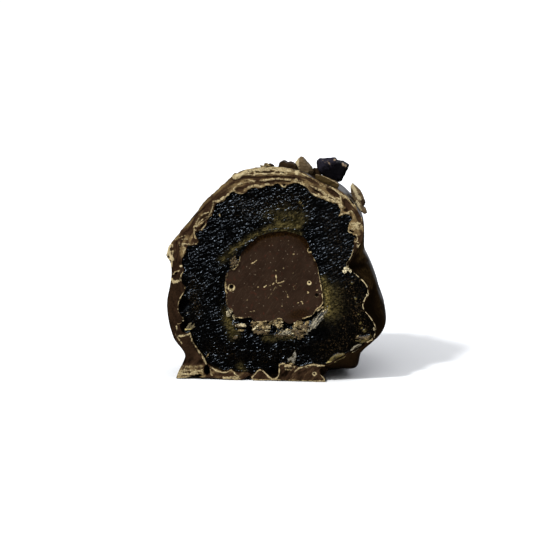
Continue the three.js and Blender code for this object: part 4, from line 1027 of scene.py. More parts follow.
def date_flesh():
    flesh, degrees, row = add_net("flesh", FLESH_TURNS, HOLLOW_ROWS + FACE_ROWS + BACK_ROWS)
    in_hollow = row < HOLLOW_ROWS
    face = ~in_hollow & (row <= HOLLOW_ROWS + FACE_ROWS)
    hollow_depth = FILLING_LENGTH * (1 - row / HOLLOW_ROWS).clip(0, 1) ** 2
    out = ((row - HOLLOW_ROWS) / FACE_ROWS).clip(0, 1)
    depth = FLESH_LENGTH * ((row - HOLLOW_ROWS - FACE_ROWS) / BACK_ROWS).clip(0, 1) ** 2
    inner_x, inner_z = filling_wall(degrees, np.where(in_hollow, hollow_depth, 0))
    outer_x, outer_z = flesh_wall(degrees, depth)
    x = over_cut(face, inner_x, outer_x, out, in_hollow)
    z = over_cut(face, inner_z, outer_z, out, in_hollow)
    relief, pit, masks = flesh_face(x, z - AXIS_HEIGHT, out, np.hypot(x - inner_x, z - inner_z))
    at_edges = smooth(out, 0, 0.02) * fade(out, 0.985, 1)
    inside = np.where(in_hollow, hollow_depth + HOLLOW_START, depth + WALL_START)
    set_points(flesh, x, np.where(face, FLESH_RECESS + relief * lerp(0.5, 1, at_edges), inside), z)
    # Off the face, the hollow and the walls are painted fully dark: painted shade where no light reaches.
    paint(flesh, pit=np.where(face, 0.8 * pit, 1))
    paint(flesh, **{name: np.where(face, mask, 0) for name, mask in masks.items()})
    close_net(flesh)
    settle(flesh, flesh_finish(), "date_flesh")


# The filling: a plug with a cut face, pricked by bubbles and scratched by the knife

FILLING_TURNS, DISC_ROWS, SIDE_ROWS = 420, 90, 7
# Bubbles: place, outer radius, how far the painted shade of the hole is moved up, its radius and how much
# tan shows
BUBBLES = (
    (-6.09, -1.67, 0.6, 0.14, 0.3, 1.0), (4.71, -0.8, 0.37, 0.08, 0.13, 1.0),
    (5.73, -2.53, 0.36, 0.06, 0.24, 0.45), (4.54, -2.13, 0.17, 0.0, 0.0, 0.9),
    (5.8, -1.8, 0.16, 0.0, 0.0, 0.6), (2.53, 3.16, 0.15, 0.0, 0.0, 0.7),
    (1.15, 1.18, 0.13, 0.0, 0.0, 0.5), (0.07, 0.85, 0.12, 0.0, 0.0, 0.6),
    (-2.35, -1.53, 0.14, 0.0, 0.0, 0.7), (0.93, -4.1, 0.14, 0.0, 0.0, 0.5),
    (-6.0, -2.0, 0.14, 0.0, 0.07, 1.0), (-6.35, -1.9, 0.14, 0.0, 0.06, 1.0),
    (4.75, 3.7, 0.42, 0.08, 0.22, 0.8), (2.5, 0.45, 0.2, 0.0, 0.0, 0.35),
)
# Scratches, crumbs pressed in and the star of crumbs in the middle: half width, strength and points
SCRATCHES = (
    (0.17, 1.0, ((0.1, 0.12), (0.13, -0.1))),
    (0.11, 0.8, ((0.12, -0.1), (0.16, -0.8))),
    (0.13, 0.8, ((0.35, -0.9), (0.6, -0.85))),
    (0.1, 0.7, ((0.6, -0.85), (1.25, -0.6))),
    (0.14, 0.8, ((-0.35, -1.1), (-0.2, -0.95))),
    (0.12, 0.6, ((-0.9, -1.35), (-0.7, -1.25))),
    (0.13, 1.0, ((-1.55, -1.5), (-1.25, -1.3))),
    (0.12, 0.5, ((0.4, -1.15), (0.85, -1.3))),
    (0.06, 0.5, ((0.07, -1.4), (-0.97, -3.1))),
    (0.05, 0.4, ((0.3, -1.4), (-0.2, -2.2))),
    (0.08, 0.4, ((3.0, -0.85), (2.5, -1.37))),
    (0.09, 0.35, ((2.5, -1.37), (2.66, -1.8))),
    (0.08, 0.45, ((1.45, -2.0), (1.7, -2.6))),
    (0.14, 0.6, ((1.7, -2.75), (1.85, -2.85))),
    (0.14, 0.7, ((3.05, -3.7), (3.2, -3.6))),
    (0.14, 0.7, ((3.5, -3.45), (3.7, -3.4), (3.8, -3.8))),
    (0.11, 0.5, ((-3.7, -5.0), (-3.2, -4.95), (-2.8, -4.85))),
    (0.15, 0.65, ((-3.3, 1.75), (-3.0, 1.9), (-2.6, 2.2))),
    (0.06, 0.4, ((-4.3, -3.7), (-3.7, -3.2))),
    (0.05, 0.35, ((-4.9, -4.1), (-4.2, -3.7))),
    (0.06, 0.35, ((-2.8, 0.05), (-2.6, 0.3))),
    (0.05, 0.3, ((0.3, -5.3), (0.8, -4.6))),
    (0.1, 0.4, ((1.7, 4.6), (1.9, 4.5))),
    (0.07, 0.35, ((-4.6, -2.2), (-4.0, -1.95))),
    (0.05, 0.3, ((1.9, -4.6), (2.3, -3.9))),
)
# Tan lines where the filling's edge is torn
FILLING_EDGE_LINES = (
    (0.13, ((-4.9, 2.7), (-5.0, 2.1), (-5.3, 1.4), (-5.7, 0.95))),
    (0.15, ((-5.7, 0.95), (-6.35, 0.8), (-6.7, 0.4), (-6.85, -0.1))),
    (0.2, ((-6.85, -0.1), (-6.9, -1.0), (-6.88, -1.9), (-6.72, -2.7))),
    (0.2, ((-6.72, -2.7), (-6.78, -3.6), (-6.55, -4.25))),
    (0.22, ((-6.55, -4.25), (-6.0, -4.7), (-5.65, -5.3), (-5.5, -5.85))),
    (0.14, ((-5.5, -5.85), (-4.4, -5.85), (-3.4, -5.7))),
    (0.13, ((-2.6, -6.45), (-1.0, -6.25), (0.4, -5.9), (1.0, -5.95))),
    (0.12, ((3.9, -5.8), (4.9, -5.45), (5.3, -5.05), (5.8, -4.35))),
    (0.12, ((5.8, -4.35), (6.35, -4.0))),
    (0.08, ((5.3, 2.7), (5.78, 1.75), (6.0, 0.5), (6.18, -0.35))),
    (0.1, ((6.18, -0.35), (6.36, -1.2), (6.52, -2.5), (6.6, -3.4), (6.35, -4.0))),
)


def ganache_face(x, high, out, from_edge):
    """Marks on the cut ganache: how far behind the cut each point is, and the masks for its finish."""
    ragged, wander = lumps(x, 0, high, 0.3, 31), 0.05 * lumps(x, 0, high, 0.8, 33)
    tan, hole = np.zeros((2, *np.shape(x)))
    relief = 0.05 * lumps(x, 0, high, 2.2, 32) + 0.012 * ragged
    for bubble_x, bubble_high, radius, moved, open_radius, show in BUBBLES:
        rim = fade(np.hypot(x - bubble_x, high - bubble_high), 0.75 * radius, radius)
        from_hole = np.hypot(x - bubble_x, high - bubble_high - moved)
        # The hole is painted dark as painted shade, moved up under the rim; the tan below it stands partly
        # for the lit lower wall.
        pit = fade(from_hole, 0.8 * open_radius, 1.2 * open_radius) if open_radius else 0 * rim
        tan = np.maximum(tan, show * rim) * (1 - pit)
        hole = np.maximum(hole, pit)
        relief = relief + 0.7 * open_radius * pit - 0.05 * rim
    for half, strength, points in SCRATCHES:
        line = strength * fade(from_line(x, high, points) + 0.04 * ragged, 0.3 * half, 0.95 * half)
        tan = np.maximum(tan, line)
        relief = relief - 0.25 * half * line
    torn = lerp(0.35, 1, smooth(lumps(x, 0, high, 0.7, 34), -0.5, 0.1))
    for half, points in FILLING_EDGE_LINES:
        line = torn * fade(from_line(x, high, points) + 0.6 * half * ragged, 0.4 * half, 1.1 * half)
        tan = np.maximum(tan, 0.9 * line)
        relief = relief - 0.15 * line
    # Painted shadow along the upper edge, under the flesh above it, with a fainter painted shade further
    # down; the right and lower strips are dark moist colour.
    top_shadow_band = fade(from_edge + 3 * wander, 0.6, 0.95) * smooth(high, 2.4, 4.0)
    right_band = 0.8 * smooth(out + wander, 0.88, 0.95) * smooth(x, 4, 5) * smooth(high, 0.8, 1.6)
    low_band = 0.75 * fade(from_oval(x, high, 3.4, -5.2, 2.0, 0.9, 14) + 3 * wander, 0.4, 1.1)
    top_shade = 0.45 * fade(from_edge + 5 * wander, 0.8, 2.0) * smooth(high, 3.0, 4.6)
    moist = np.max((top_shadow_band, right_band, low_band, top_shade), axis=0)
    return FILLING_RECESS + relief + 0.12 * top_shadow_band, dict(tan=tan, dark=hole, moist=moist)


def ganache_filling():
    filling, degrees, row = add_net("filling", FILLING_TURNS, DISC_ROWS + SIDE_ROWS)
    disc = row <= DISC_ROWS
    out = (row / DISC_ROWS).clip(0, 1)
    depth = FILLING_LENGTH * ((row - DISC_ROWS) / SIDE_ROWS).clip(0, 1) ** 2
    wall_x, wall_z = filling_wall(degrees, depth, FILLING_OVERLAP)
    x = np.where(disc, wall_x * out, wall_x)
    z = np.where(disc, lerp(AXIS_HEIGHT, wall_z, out), wall_z)
    from_edge = (1 - out) * np.hypot(wall_x, wall_z - AXIS_HEIGHT)
    back, masks = ganache_face(x, z - AXIS_HEIGHT, out, from_edge)
    set_points(filling, x, np.where(disc, back, depth + FILLING_RECESS + FILLING_START), z)
    paint(filling, **{name: np.where(disc, mask, 0) for name, mask in masks.items()})
    close_net(filling)
    settle(filling, ganache_finish(), "ganache_filling")


# Nibs and chips on the coat

BLACK_NIB = (
    (5.35, 15.6), (5.7, 15.95), (7.9, 16.1), (8.1, 15.75), (9.0, 15.65), (9.8, 15.2), (9.65, 14.6),
    (9.25, 13.6), (8.9, 12.9), (8.15, 12.5), (7.4, 12.9), (6.5, 13.4), (5.4, 14.2),
)
TAN_CHIP = (
    (2.4, 15.2), (2.7, 15.85), (3.14, 16.35), (3.6, 16.25), (4.3, 15.5), (4.8, 14.86), (5.0, 14.2),
    (4.6, 13.6), (3.5, 13.7), (2.7, 14.0),
)
BROWN_NIB = (
    (0.05, 14.4), (0.15, 15.15), (0.4, 15.65), (0.75, 15.9), (1.15, 15.8), (1.4, 15.5), (1.85, 15.6),
    (2.4, 15.5), (2.75, 15.1), (2.75, 14.2), (1.4, 14.0),
)
SMALL_BROWN = (
    (4.6, 14.4), (5.0, 14.7), (5.5, 14.65), (6.0, 14.3), (6.0, 13.0), (4.6, 13.0),
)
BENT_FLAKE = (
    (10.06, 12.3), (10.27, 12.7), (10.96, 12.2), (11.57, 11.5), (12.0, 10.66), (12.14, 9.96), (11.9, 9.4),
    (11.4, 9.3), (10.8, 9.9), (10.3, 10.6), (10.0, 11.4),
)
LOWER_BIT = (
    (10.9, 10.4), (11.3, 10.1), (11.75, 9.55), (12.25, 9.15), (12.5, 8.5), (12.0, 8.3), (11.4, 8.8),
    (11.0, 9.4), (10.7, 10.0),
)
# A broken face of the coat under the black nib
COAT_FACET = (
    (5.4, 14.15), (6.3, 14.05), (7.3, 13.6), (8.6, 12.9), (8.75, 12.5), (8.5, 12.1), (7.4, 12.3),
    (6.2, 12.8), (5.4, 13.3),
)
# Pale chips on the black nib: place, half length, half width and tilt
BLACK_NIB_CHIPS = (
    (6.95, 15.5, 0.45, 0.26, -10), (9.25, 15.2, 0.55, 0.24, -38), (7.9, 15.9, 0.35, 0.14, 0),
    (6.2, 15.8, 0.3, 0.08, 0),
)
FLAKE_RIM = ((10.2, 12.4), (10.7, 11.6), (11.0, 10.9), (11.3, 10.5))
NIB_CREASE = 40
BIT_BEVEL = 0.1
BIT_WEAR = ((0.9, 0.12), (0.28, 0.05))  # size and depth of the lumps on a broken bit
CRACK_AWAY = (0.35, 0.7)  # nearest and farthest break from the middle of a lump, as a share of its radius


def broken_bit(name, outline, depth, thick, front, back, seed):
    """A broken bit: an outline taken back in two steps, narrowed at the front and back, and worn."""
    deselect()
    bpy.ops.mesh.primitive_circle_add(vertices=len(outline), fill_type="NGON", radius=1)
    bit = just_added(name)
    x, high = np.array(outline).T
    set_points(bit, x, depth - 0.5 * thick, AXIS_HEIGHT + high)
    middle = Vector((x.mean(), depth, AXIS_HEIGHT + high.mean()))
    bpy.ops.object.mode_set(mode="EDIT")
    bpy.ops.mesh.select_all(action="SELECT")
    for step, size in ((0.4 * thick, 1), (0.6 * thick, back)):
        bpy.ops.mesh.extrude_region_move(TRANSFORM_OT_translate={"value": (0, step, 0)})
        bpy.ops.transform.resize(value=(size, 1, size), center_override=middle)
    bpy.ops.object.mode_set(mode="OBJECT")
    place = points_of(bit)
    at_front = place[:, 1] < depth - 0.45 * thick
    place[at_front] = lerp(np.array(middle), place[at_front], np.array((front, 1, front)))
    set_points(bit, *place.T)
    bpy.ops.object.mode_set(mode="EDIT")
    bpy.ops.mesh.select_all(action="SELECT")
    bpy.ops.mesh.normals_make_consistent(inside=False)
    bpy.ops.object.mode_set(mode="OBJECT")
    finish_with(bit, "BEVEL", width=BIT_BEVEL, segments=2)
    finish_with(bit, "SUBSURF", subdivision_type="SIMPLE", levels=3)
    for step, (size, amount) in enumerate(BIT_WEAR):
        roughen(bit, size, amount, seed + step)
    return bit


def cracked_bit(name, half_sizes, cuts, seed):
    """A rough lump with flat broken faces, about the origin."""
    draw = np.random.default_rng(seed)
    deselect()
    bpy.ops.mesh.primitive_ico_sphere_add(subdivisions=3, radius=1)
    bit = just_added(name)
    bpy.ops.object.mode_set(mode="EDIT")
    for _ in range(cuts):
        away = draw.normal(size=3)
        away = away / np.linalg.norm(away)
        bpy.ops.mesh.select_all(action="SELECT")
        place = away * draw.uniform(*CRACK_AWAY)
        bpy.ops.mesh.bisect(plane_co=place, plane_no=away, use_fill=True, clear_outer=True)
    bpy.ops.mesh.select_all(action="SELECT")
    bpy.ops.mesh.quads_convert_to_tris()
    bpy.ops.mesh.normals_make_consistent(inside=False)
    bpy.ops.object.mode_set(mode="OBJECT")
    place = points_of(bit)
    place = (place - (place.max(0) + place.min(0)) / 2) / ((place.max(0) - place.min(0)) / 2)
    set_points(bit, *(place * half_sizes).T)
    finish_with(bit, "SUBSURF", subdivision_type="SIMPLE", levels=1)
    roughen(bit, 0.5 * min(half_sizes), 0.12 * min(half_sizes), seed)
    return bit


def scatter(index, seed):
    """A repeatable draw from 0 to 1."""
    return math.modf(abs(math.sin(index * 12.9898 + seed * 78.233) * 43758.5453))[0]


HIDDEN_NIBS = 9
HIDDEN_ARC, HIDDEN_DEPTH = (48, 125), (12, 19)  # degrees, and millimetres behind the cut, where they lie
GOLDEN_SHARE = 0.618  # spreads them evenly over the arc
NIB_SIZES, NIB_SPREAD = (2.0, 1.6, 1.8), (0.75, 1.55)  # usual sizes, and the shares of them that are drawn
NIB_SINK = 0.25  # the share of a nib's height that is pressed in
NIB_CUTS, NIB_SEED = 8, 70


def nib_on_coat(index):
    """A nib on the back of the coat, set on the surface and pressed in a little."""
    turn = lerp(*HIDDEN_ARC, math.modf(index * GOLDEN_SHARE)[0])
    depth = lerp(*HIDDEN_DEPTH, index / (HIDDEN_NIBS - 1))
    sizes = [size * lerp(*NIB_SPREAD, scatter(index, axis + 3)) for axis, size in enumerate(NIB_SIZES)]
    nib = cracked_bit(f"nib_{index}", np.array(sizes) / 2, NIB_CUTS, NIB_SEED + index)
    here, round_it, along_it = (
        np.array((*(float(v) for v in coat_outside(np.array(a), np.array(d))), d))[[0, 2, 1]]
        for a, d in ((turn, depth), (turn + 1, depth), (turn, depth + 0.2))
    )
    out = np.cross(along_it - here, round_it - here)
    out = Vector(out if out[2] > 0 else -out).normalized()
    upright = out.to_track_quat("Z", "Y").to_matrix().to_4x4()
    spin = Matrix.Rotation(math.tau * scatter(index, 9), 4, "Z")
    centre = Vector(here) + out * sizes[2] * (0.5 - NIB_SINK)
    nib.data.transform(Matrix.Translation(centre) @ upright @ spin)
    paint(nib, chip=0.0)
    return nib


def black_nib():
    nib = broken_bit("black_nib", BLACK_NIB, depth=5.0, thick=3.4, front=0.82, back=0.7, seed=41)
    x, y, high = seen_from_cut(nib)
    chip = np.max([fade(from_oval(x, high, *oval), 0.5, 1.2) for oval in BLACK_NIB_CHIPS], axis=0)
    mottled = lerp(0.35, 1, smooth(lumps(x, 0, high, 0.22, 54), -0.3, 0.3))
    # Painted sheen on the upper left, where the light falls.
    bloom = smooth(0.6 * (7.6 - x) + high - 15.0, -0.8, 1.4) * lerp(0.5, 1, mottled)
    paint(nib, chip=chip * mottled * fade(y, 3.7, 4.3), bloom=bloom)
    finish = nib_finish("cocoa nib", rgb(4, 3, 5), rgb(12, 10, 13), rgb(140, 119, 94))
    settle(nib, finish, "chocolate_coat")


def brown_and_dark_nibs():
    behind = [nib_on_coat(index) for index in range(HIDDEN_NIBS)]
    at_cut = [
        broken_bit("brown_nib", BROWN_NIB, depth=3.0, thick=1.8, front=0.9, back=0.8, seed=43),
        broken_bit("small_nib", SMALL_BROWN, depth=4.6, thick=1.4, front=0.85, back=0.8, seed=44),
    ]
    for nib in at_cut:
        paint(nib, chip=0.0)
    finish = nib_finish("brown cocoa nib", rgb(22, 14, 6), rgb(58, 43, 26), rgb(128, 102, 82))
    settle(join(at_cut + behind[::2], "brown_nibs"), finish, "chocolate_coat", NIB_CREASE)
    finish = nib_finish("dark cocoa nib", rgb(9, 6, 4), rgb(27, 20, 14), rgb(134, 112, 94))
    settle(join(behind[1::2], "dark_nibs"), finish, "chocolate_coat", NIB_CREASE)


def tan_chips():
    pointed = broken_bit("pointed_chip", TAN_CHIP, depth=3.5, thick=1.8, front=0.6, back=0.85, seed=45)
    # The pointed chip's left side is painted lighter, as lit from the left: painted light.
    paint(pointed, chip=smooth(3.0 - points_of(pointed)[:, 0], -0.5, 0.5))
    lower = broken_bit("lower_bit", LOWER_BIT, depth=4.0, thick=0.9, front=0.85, back=0.9, seed=49)
    # The lower bit's left side is painted lighter, as lit from the left: painted light.
    paint(lower, chip=smooth(11.3 - points_of(lower)[:, 0], -0.8, 0.4))
    flake = broken_bit("bent_flake", BENT_FLAKE, depth=4.4, thick=1.1, front=0.88, back=0.9, seed=47)
    x, _, high = seen_from_cut(flake)
    rim = fade(from_line(x, high, FLAKE_RIM), 0.1, 0.45)
    # The flake's hollow and its lower right are painted darker: painted shade.
    hollow = fade(from_oval(x, high, 10.35, 11.35, 0.6, 0.25, -70), 0.5, 1.2)
    lower_right_shade = fade(from_oval(x, high, 11.85, 9.95, 0.8, 0.4, -65), 0.4, 1.2)
    paint(flake, chip=0.8 * rim * (1 - hollow), deep=np.maximum(0.5 * hollow, lower_right_shade))
    finish = nib_finish("husk chips", rgb(72, 57, 38), rgb(112, 95, 70), rgb(178, 162, 126))
    settle(join([pointed, lower, flake], "chips"), finish, "chocolate_coat", NIB_CREASE)


def broken_face():
    facet = broken_bit("broken_face", COAT_FACET, depth=2.0, thick=1.6, front=0.97, back=0.55, seed=51)
    x, y, high = seen_from_cut(facet)
    ridge = fade(from_line(x, high, COAT_FACET[:4]), 0.05, 0.16)
    paint(facet, chip=0.7 * ridge * fade(y, 1.35, 1.7))
    finish = nib_finish("olive chocolate", rgb(50, 38, 18), rgb(72, 57, 30), rgb(150, 130, 96))
    settle(facet, finish, "chocolate_coat", NIB_CREASE)


# Crumbs at the lower edge of the filling, on the broken edge and in the flesh: place, half width, half
# height, tilt, shade from brown to white, and how far it stands back from the cut
CRUMBS = (
    (-4.85, -6.85, 0.88, 0.27, 3, 0.85, -0.15), (-4.75, -7.6, 0.7, 0.15, -3, 0.45, 0.1),
    (-3.2, -6.5, 0.25, 0.2, 20, 0.35, 0.3), (-2.8, -6.75, 0.35, 0.25, -10, 0.45, 0.3),
    (-1.95, -6.75, 0.5, 0.28, 30, 0.55, 0.1), (-1.65, -7.3, 0.5, 0.3, 80, 0.55, 0.1),
    (-1.0, -7.15, 0.42, 0.25, 0, 0.65, 0.1), (-0.95, -7.65, 0.3, 0.15, 0, 0.7, 0.1),
    (-2.8, -7.55, 0.3, 0.25, 20, 0.45, 0.4), (-1.45, -8.15, 0.6, 0.22, 5, 0.45, 0.3),
    (-0.6, -6.6, 0.5, 0.2, 15, 0.25, 0.3), (0.5, -6.85, 0.5, 0.33, -20, 0.6, 0.1),
    (0.6, -7.7, 0.45, 0.25, 5, 0.75, 0.3), (1.4, -7.6, 0.5, 0.25, 25, 0.8, 0.2),
    (2.2, -7.9, 0.55, 0.3, -10, 0.7, 0.2), (0.3, -8.1, 0.3, 0.15, 0, 0.5, 0.4),
    (3.2, -6.55, 0.7, 0.5, 20, 0.4, 0.1), (3.45, -8.05, 0.55, 0.6, 0, 0.45, 0.1),
    (2.7, -7.35, 0.35, 0.25, 40, 0.65, 0.2), (4.2, -7.4, 0.36, 0.42, 0, 0.7, 0.0),
    (4.5, -6.5, 0.4, 0.35, 40, 0.45, 0.3), (5.3, -6.4, 0.34, 0.1, 52, 0.75, 0.3),
    (4.9, -7.6, 0.25, 0.4, -30, 0.4, 0.5), (6.0, -4.5, 0.35, 0.18, 25, 0.7, 0.2),
    (6.5, -4.2, 0.25, 0.15, 10, 0.6, 0.2), (6.65, -4.75, 0.3, 0.2, 40, 0.8, 0.3),
    (6.95, -4.6, 0.2, 0.2, 0, 0.65, 0.3), (6.4, -6.0, 0.25, 0.2, 0, 0.5, 0.4),
    (-6.55, -5.3, 0.22, 0.45, 10, 0.95, 0.0), (-6.2, -4.95, 0.16, 0.3, 25, 0.8, 0.1),
    (-5.75, -5.8, 0.16, 0.42, 12, 0.7, 0.1), (-3.05, -9.3, 0.14, 0.25, 0, 0.75, 0.5),
    (-2.6, -8.75, 0.14, 0.28, 15, 0.6, 0.5), (-5.7, -8.6, 0.2, 0.15, 20, 0.55, 0.4),
    (-5.35, -8.35, 0.2, 0.1, 30, 0.45, 0.4), (-9.4, -11.25, 0.36, 0.08, 52, 0.5, 0.2),
    (-13.4, -6.7, 0.35, 0.2, 0, 0.55, 0.1), (-12.85, -6.4, 0.14, 0.12, 0, 0.8, 0.1),
    (1.85, -13.0, 0.42, 0.13, 3, 0.5, -0.05), (2.2, -12.25, 0.4, 0.22, -10, 0.55, 0.1),
    (-7.65, 8.45, 0.13, 0.2, 20, 0.65, 0.1), (3.5, 10.35, 0.3, 0.22, -30, 0.25, 0.1),
    (-5.6, 14.05, 0.4, 0.25, 20, 0.3, 0.4), (-1.75, 15.2, 0.35, 0.28, 10, 0.4, 0.5),
    (-1.15, 15.4, 0.5, 0.34, 5, 0.5, 0.5), (-0.6, 15.35, 0.42, 0.3, -30, 0.0, 0.7),
    (-5.15, 13.7, 0.12, 0.35, 5, 0.6, -0.05), (9.66, 1.1, 0.36, 0.32, 30, 0.95, -0.25),
    (9.95, 1.26, 0.52, 0.32, -5, 0.95, -0.3), (10.32, 1.08, 0.32, 0.2, -40, 0.9, -0.25),
    (12.72, -2.3, 0.17, 0.15, 0, 0.8, -0.1), (13.72, -7.0, 0.13, 0.24, 10, 0.75, -0.1),
    (-5.7, 2.3, 0.2, 0.3, -20, 0.7, 0.2), (-5.6, 1.6, 0.3, 0.15, 40, 0.6, 0.2),
    (-6.1, 1.9, 0.25, 0.12, 30, 0.6, 0.2), (11.2, -2.6, 0.18, 0.25, 20, 0.35, 0.3),
    (11.5, -4.6, 0.18, 0.22, 0, 0.35, 0.4), (11.9, -6.2, 0.2, 0.25, 10, 0.4, 0.4),
    (12.4, -7.2, 0.2, 0.2, 0, 0.4, 0.5), (11.4, -8.1, 0.3, 0.18, 10, 0.35, 0.5),
    (12.6, -8.45, 0.4, 0.18, 5, 0.5, 0.2),
)
# Where small chips lie close together: place, half width, half height and how many
CHIP_BANKS = (
    (-2.0, -7.1, 1.3, 0.9, 26), (0.2, -6.6, 1.1, 0.5, 14), (1.6, -7.7, 1.1, 0.45, 14),
    (3.3, -7.3, 0.9, 1.1, 22), (-5.7, 1.9, 0.6, 0.8, 10), (3.4, -8.2, 0.7, 0.5, 10),
)
CRUMB_CUTS, CRUMB_SEED, CRUMB_CREASE = 9, 100, 45
# Ranges from which a small chip's half width, half height, tilt, shade and set-back are drawn
CHIP_RANGES = ((0.12, 0.3), (0.07, 0.16), (-20, 40), (0.2, 0.95), (0, 0.35))


def small_chips():
    """Chips drawn at random in the banks, in the same terms as the crumbs."""
    draw = np.random.default_rng(7)
    for bank_x, bank_high, wide, tall, count in CHIP_BANKS:
        for _ in range(count):
            out, turn = math.sqrt(draw.uniform()), draw.uniform(0, math.tau)
            x, high = bank_x + wide * out * math.cos(turn), bank_high + tall * out * math.sin(turn)
            yield x, high, *(draw.uniform(*limits) for limits in CHIP_RANGES)


def loose_crumbs():
    made = []
    for index, (x, high, wide, tall, tilt, pale, back) in enumerate((*CRUMBS, *small_chips())):
        thick = min(0.45, 0.5 * (wide + tall))
        half_sizes = np.array((wide, thick, tall))
        crumb = cracked_bit(f"crumb_{index}", half_sizes, CRUMB_CUTS, CRUMB_SEED + index)
        lean = Matrix.Rotation(math.radians(-tilt), 4, "Y")
        crumb.data.transform(Matrix.Translation((x, back + 0.5 * thick, AXIS_HEIGHT + high)) @ lean)
        paint(crumb, pale=pale)
        made.append(crumb)
    settle(join(made, "crumbs"), crumb_finish(), "ganache_filling", CRUMB_CREASE)


# Slivers of date skin: outline, distance behind the cut, thickness, the height below which the torn edge
# is bright, and how white it is
SLIVERS = (
    (((-12.7, -7.85), (-11.9, -7.75), (-11.07, -7.3), (-11.15, -6.8), (-11.5, -6.4),
     (-12.15, -6.85)), 0.1, 0.35, -7.55, 0.15),
    (((-12.6, -5.45), (-12.2, -5.3), (-11.95, -5.38), (-12.1, -5.62),
     (-12.45, -5.75)), 0.3, 0.2, -5.65, 0.9),
    (((10.0, -10.75), (9.4, -10.5), (8.5, -10.75), (7.75, -11.2), (7.05, -11.95), (6.9, -12.2),
     (7.8, -12.0), (8.8, -11.65), (9.7, -11.15)), 0.05, 0.45, -11.75, 0.0),
    (((12.05, -9.25), (11.5, -9.3), (10.9, -9.65), (10.4, -10.15), (10.6, -10.45), (11.2, -10.3),
     (11.8, -9.85)), 0.0, 0.5, -10.4, 0.35),
    (((2.75, -10.15), (2.95, -10.9), (2.9, -11.7), (2.75, -12.4), (2.35, -12.2), (2.2, -11.9),
     (1.9, -12.0), (1.65, -11.7), (1.9, -11.35), (2.4, -11.1), (2.6, -10.6)), 0.15, 0.35, -13.0, 0.6),
    (((1.6, -12.0), (2.2, -12.05), (2.3, -12.4), (1.8, -12.45)), 0.3, 0.25, -13.0, 0.0),
    (((11.0, -8.75), (11.8, -8.6), (12.6, -8.55), (13.3, -8.35), (13.45, -8.6), (12.8, -8.95),
     (12.0, -9.05), (11.3, -8.95)), 0.0, 0.4, -8.95, 0.0),
)
SLIVER_LEFT, SLIVER_SEED = 0.85, 61  # how much of the outline is left at the front and back


def skin_slivers():
    made = []
    for index, (points, back, thick, bright_below, pale) in enumerate(SLIVERS):
        narrowed = SLIVER_LEFT, SLIVER_LEFT
        sliver = broken_bit(f"sliver_{index}", points, back + thick, thick, *narrowed, SLIVER_SEED + index)
        high = points_of(sliver)[:, 2] - AXIS_HEIGHT
        paint(sliver, lit=fade(high, bright_below - 0.1, bright_below + 0.1), pale=pale)
        made.append(sliver)
    settle(join(made, "skin_slivers"), skin_finish(), "date_flesh")


# Stage, light and camera

CAMERA_TURN, CAMERA_RISE, CAMERA_AWAY = 6.0, 9.5, 0.300
PHOTO_SIDE, PIXELS_PER_MM = 533, 7.267
AXIS_PIXEL = (275, 277)  # where the date's axis meets the cut in the picture
SENSOR = 36.0
LIGHT_AWAY = 0.5
DAYLIGHT, RIM_TINT = (0.97, 0.985, 1.0), (0.92, 0.94, 1.0)
AMBIENT, AMBIENT_IN_GLOSS = 0.12, 0.008  # strength of the surroundings as light, and as they show in gloss


def looking(turn, rise):
    """Unit vector from the part towards a viewer at that turn and rise in degrees."""
    a, e = math.radians(turn), math.radians(rise)
    return Vector((math.sin(a) * math.cos(e), -math.cos(a) * math.cos(e), math.sin(e)))


def aim(thing, place, target):
    thing.location = place
    thing.rotation_euler = (target - place).to_track_quat("-Z", "Y").to_euler()


def add_camera():
    towards = looking(CAMERA_TURN, CAMERA_RISE)
    right = Vector((math.cos(math.radians(CAMERA_TURN)), math.sin(math.radians(CAMERA_TURN)), 0))
    upward = towards.cross(right)
    middle = PHOTO_SIDE / 2
    across, rise = (middle - AXIS_PIXEL[0]) / PIXELS_PER_MM, (AXIS_PIXEL[1] - middle) / PIXELS_PER_MM
    target = AXIS_POINT + (right * across + upward * rise) * MM
    bpy.ops.object.camera_add()
    camera = bpy.context.object
    aim(camera, target + towards * CAMERA_AWAY, target)
    camera.data.sensor_width = SENSOR
    camera.data.lens = SENSOR * CAMERA_AWAY / (PHOTO_SIDE / PIXELS_PER_MM * MM)
    camera.data.clip_start = 0.01
    bpy.context.scene.camera = camera


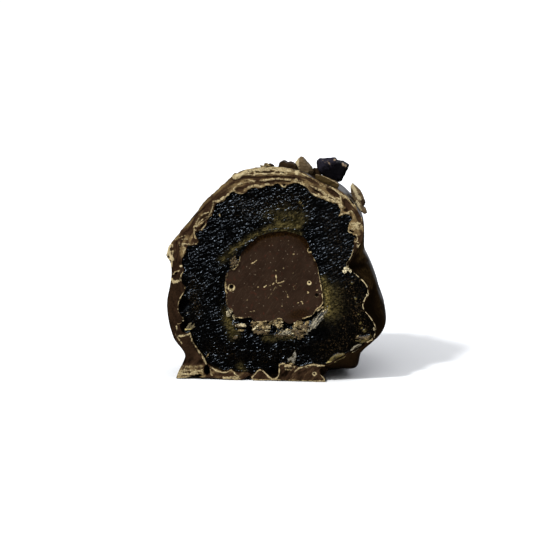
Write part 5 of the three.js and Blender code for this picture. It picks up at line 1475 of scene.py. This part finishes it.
def add_light(name, kind, tint, turn, rise, power, **settings):
    bpy.ops.object.light_add(type=kind)
    light = bpy.context.object
    light.name = name
    light.data.energy = power
    light.data.color = tint
    for setting, value in settings.items():
        setattr(light.data, setting, value)
    aim(light, AXIS_POINT + looking(turn, rise) * LIGHT_AWAY, AXIS_POINT)
    return light


def add_lights():
    add_light("key", "SUN", DAYLIGHT, turn=-38, rise=46, power=2.6, angle=math.radians(7))
    soft_key = add_light("soft key", "SUN", DAYLIGHT, turn=-20, rise=60, power=1.5, angle=math.radians(70))
    soft_key.visible_glossy = False
    add_light("rim", "AREA", RIM_TINT, turn=150, rise=40, power=1.2, size=0.3)
    low_rim = add_light("low rim", "AREA", RIM_TINT, turn=160, rise=10, power=0.16, size=0.25)
    low_rim.visible_camera = False


def add_floor():
    deselect()
    bpy.ops.mesh.primitive_plane_add(size=8)
    floor = bpy.context.object
    floor.name = "floor"
    pale = Finish("pale floor", 0.9, 0.0)
    pale.colour(pale.mix(pale.grain(60, 2), (0.95, 0.95, 0.95, 1), (0.97, 0.97, 0.97, 1)))
    floor.data.materials.append(pale.material)
    floor.visible_glossy = False  # its white would veil the dark, wet flesh


def add_surroundings():
    """A pale backdrop that lights the date softly and hardly shows in its gloss."""
    world = bpy.data.worlds.new("studio")
    world.use_nodes = True
    bpy.context.scene.world = world
    nodes, links = world.node_tree.nodes, world.node_tree.links
    background = nodes["Background"]
    background.inputs["Color"].default_value = (0.95, 0.97, 1, 1)
    seen = nodes.new("ShaderNodeLightPath")
    ambient, level = nodes.new("ShaderNodeMapRange"), nodes.new("ShaderNodeMapRange")
    ambient.inputs["To Min"].default_value = AMBIENT
    ambient.inputs["To Max"].default_value = AMBIENT_IN_GLOSS
    links.new(seen.outputs["Is Glossy Ray"], ambient.inputs["Value"])
    links.new(ambient.outputs["Result"], level.inputs["To Min"])
    links.new(seen.outputs["Is Camera Ray"], level.inputs["Value"])
    links.new(level.outputs["Result"], background.inputs["Strength"])
    bpy.context.scene.view_settings.view_transform = "Standard"


black_nib()
brown_and_dark_nibs()
tan_chips()
broken_face()
loose_crumbs()
skin_slivers()
chocolate_coat()
date_flesh()
ganache_filling()
add_floor()
add_surroundings()
add_lights()
add_camera()
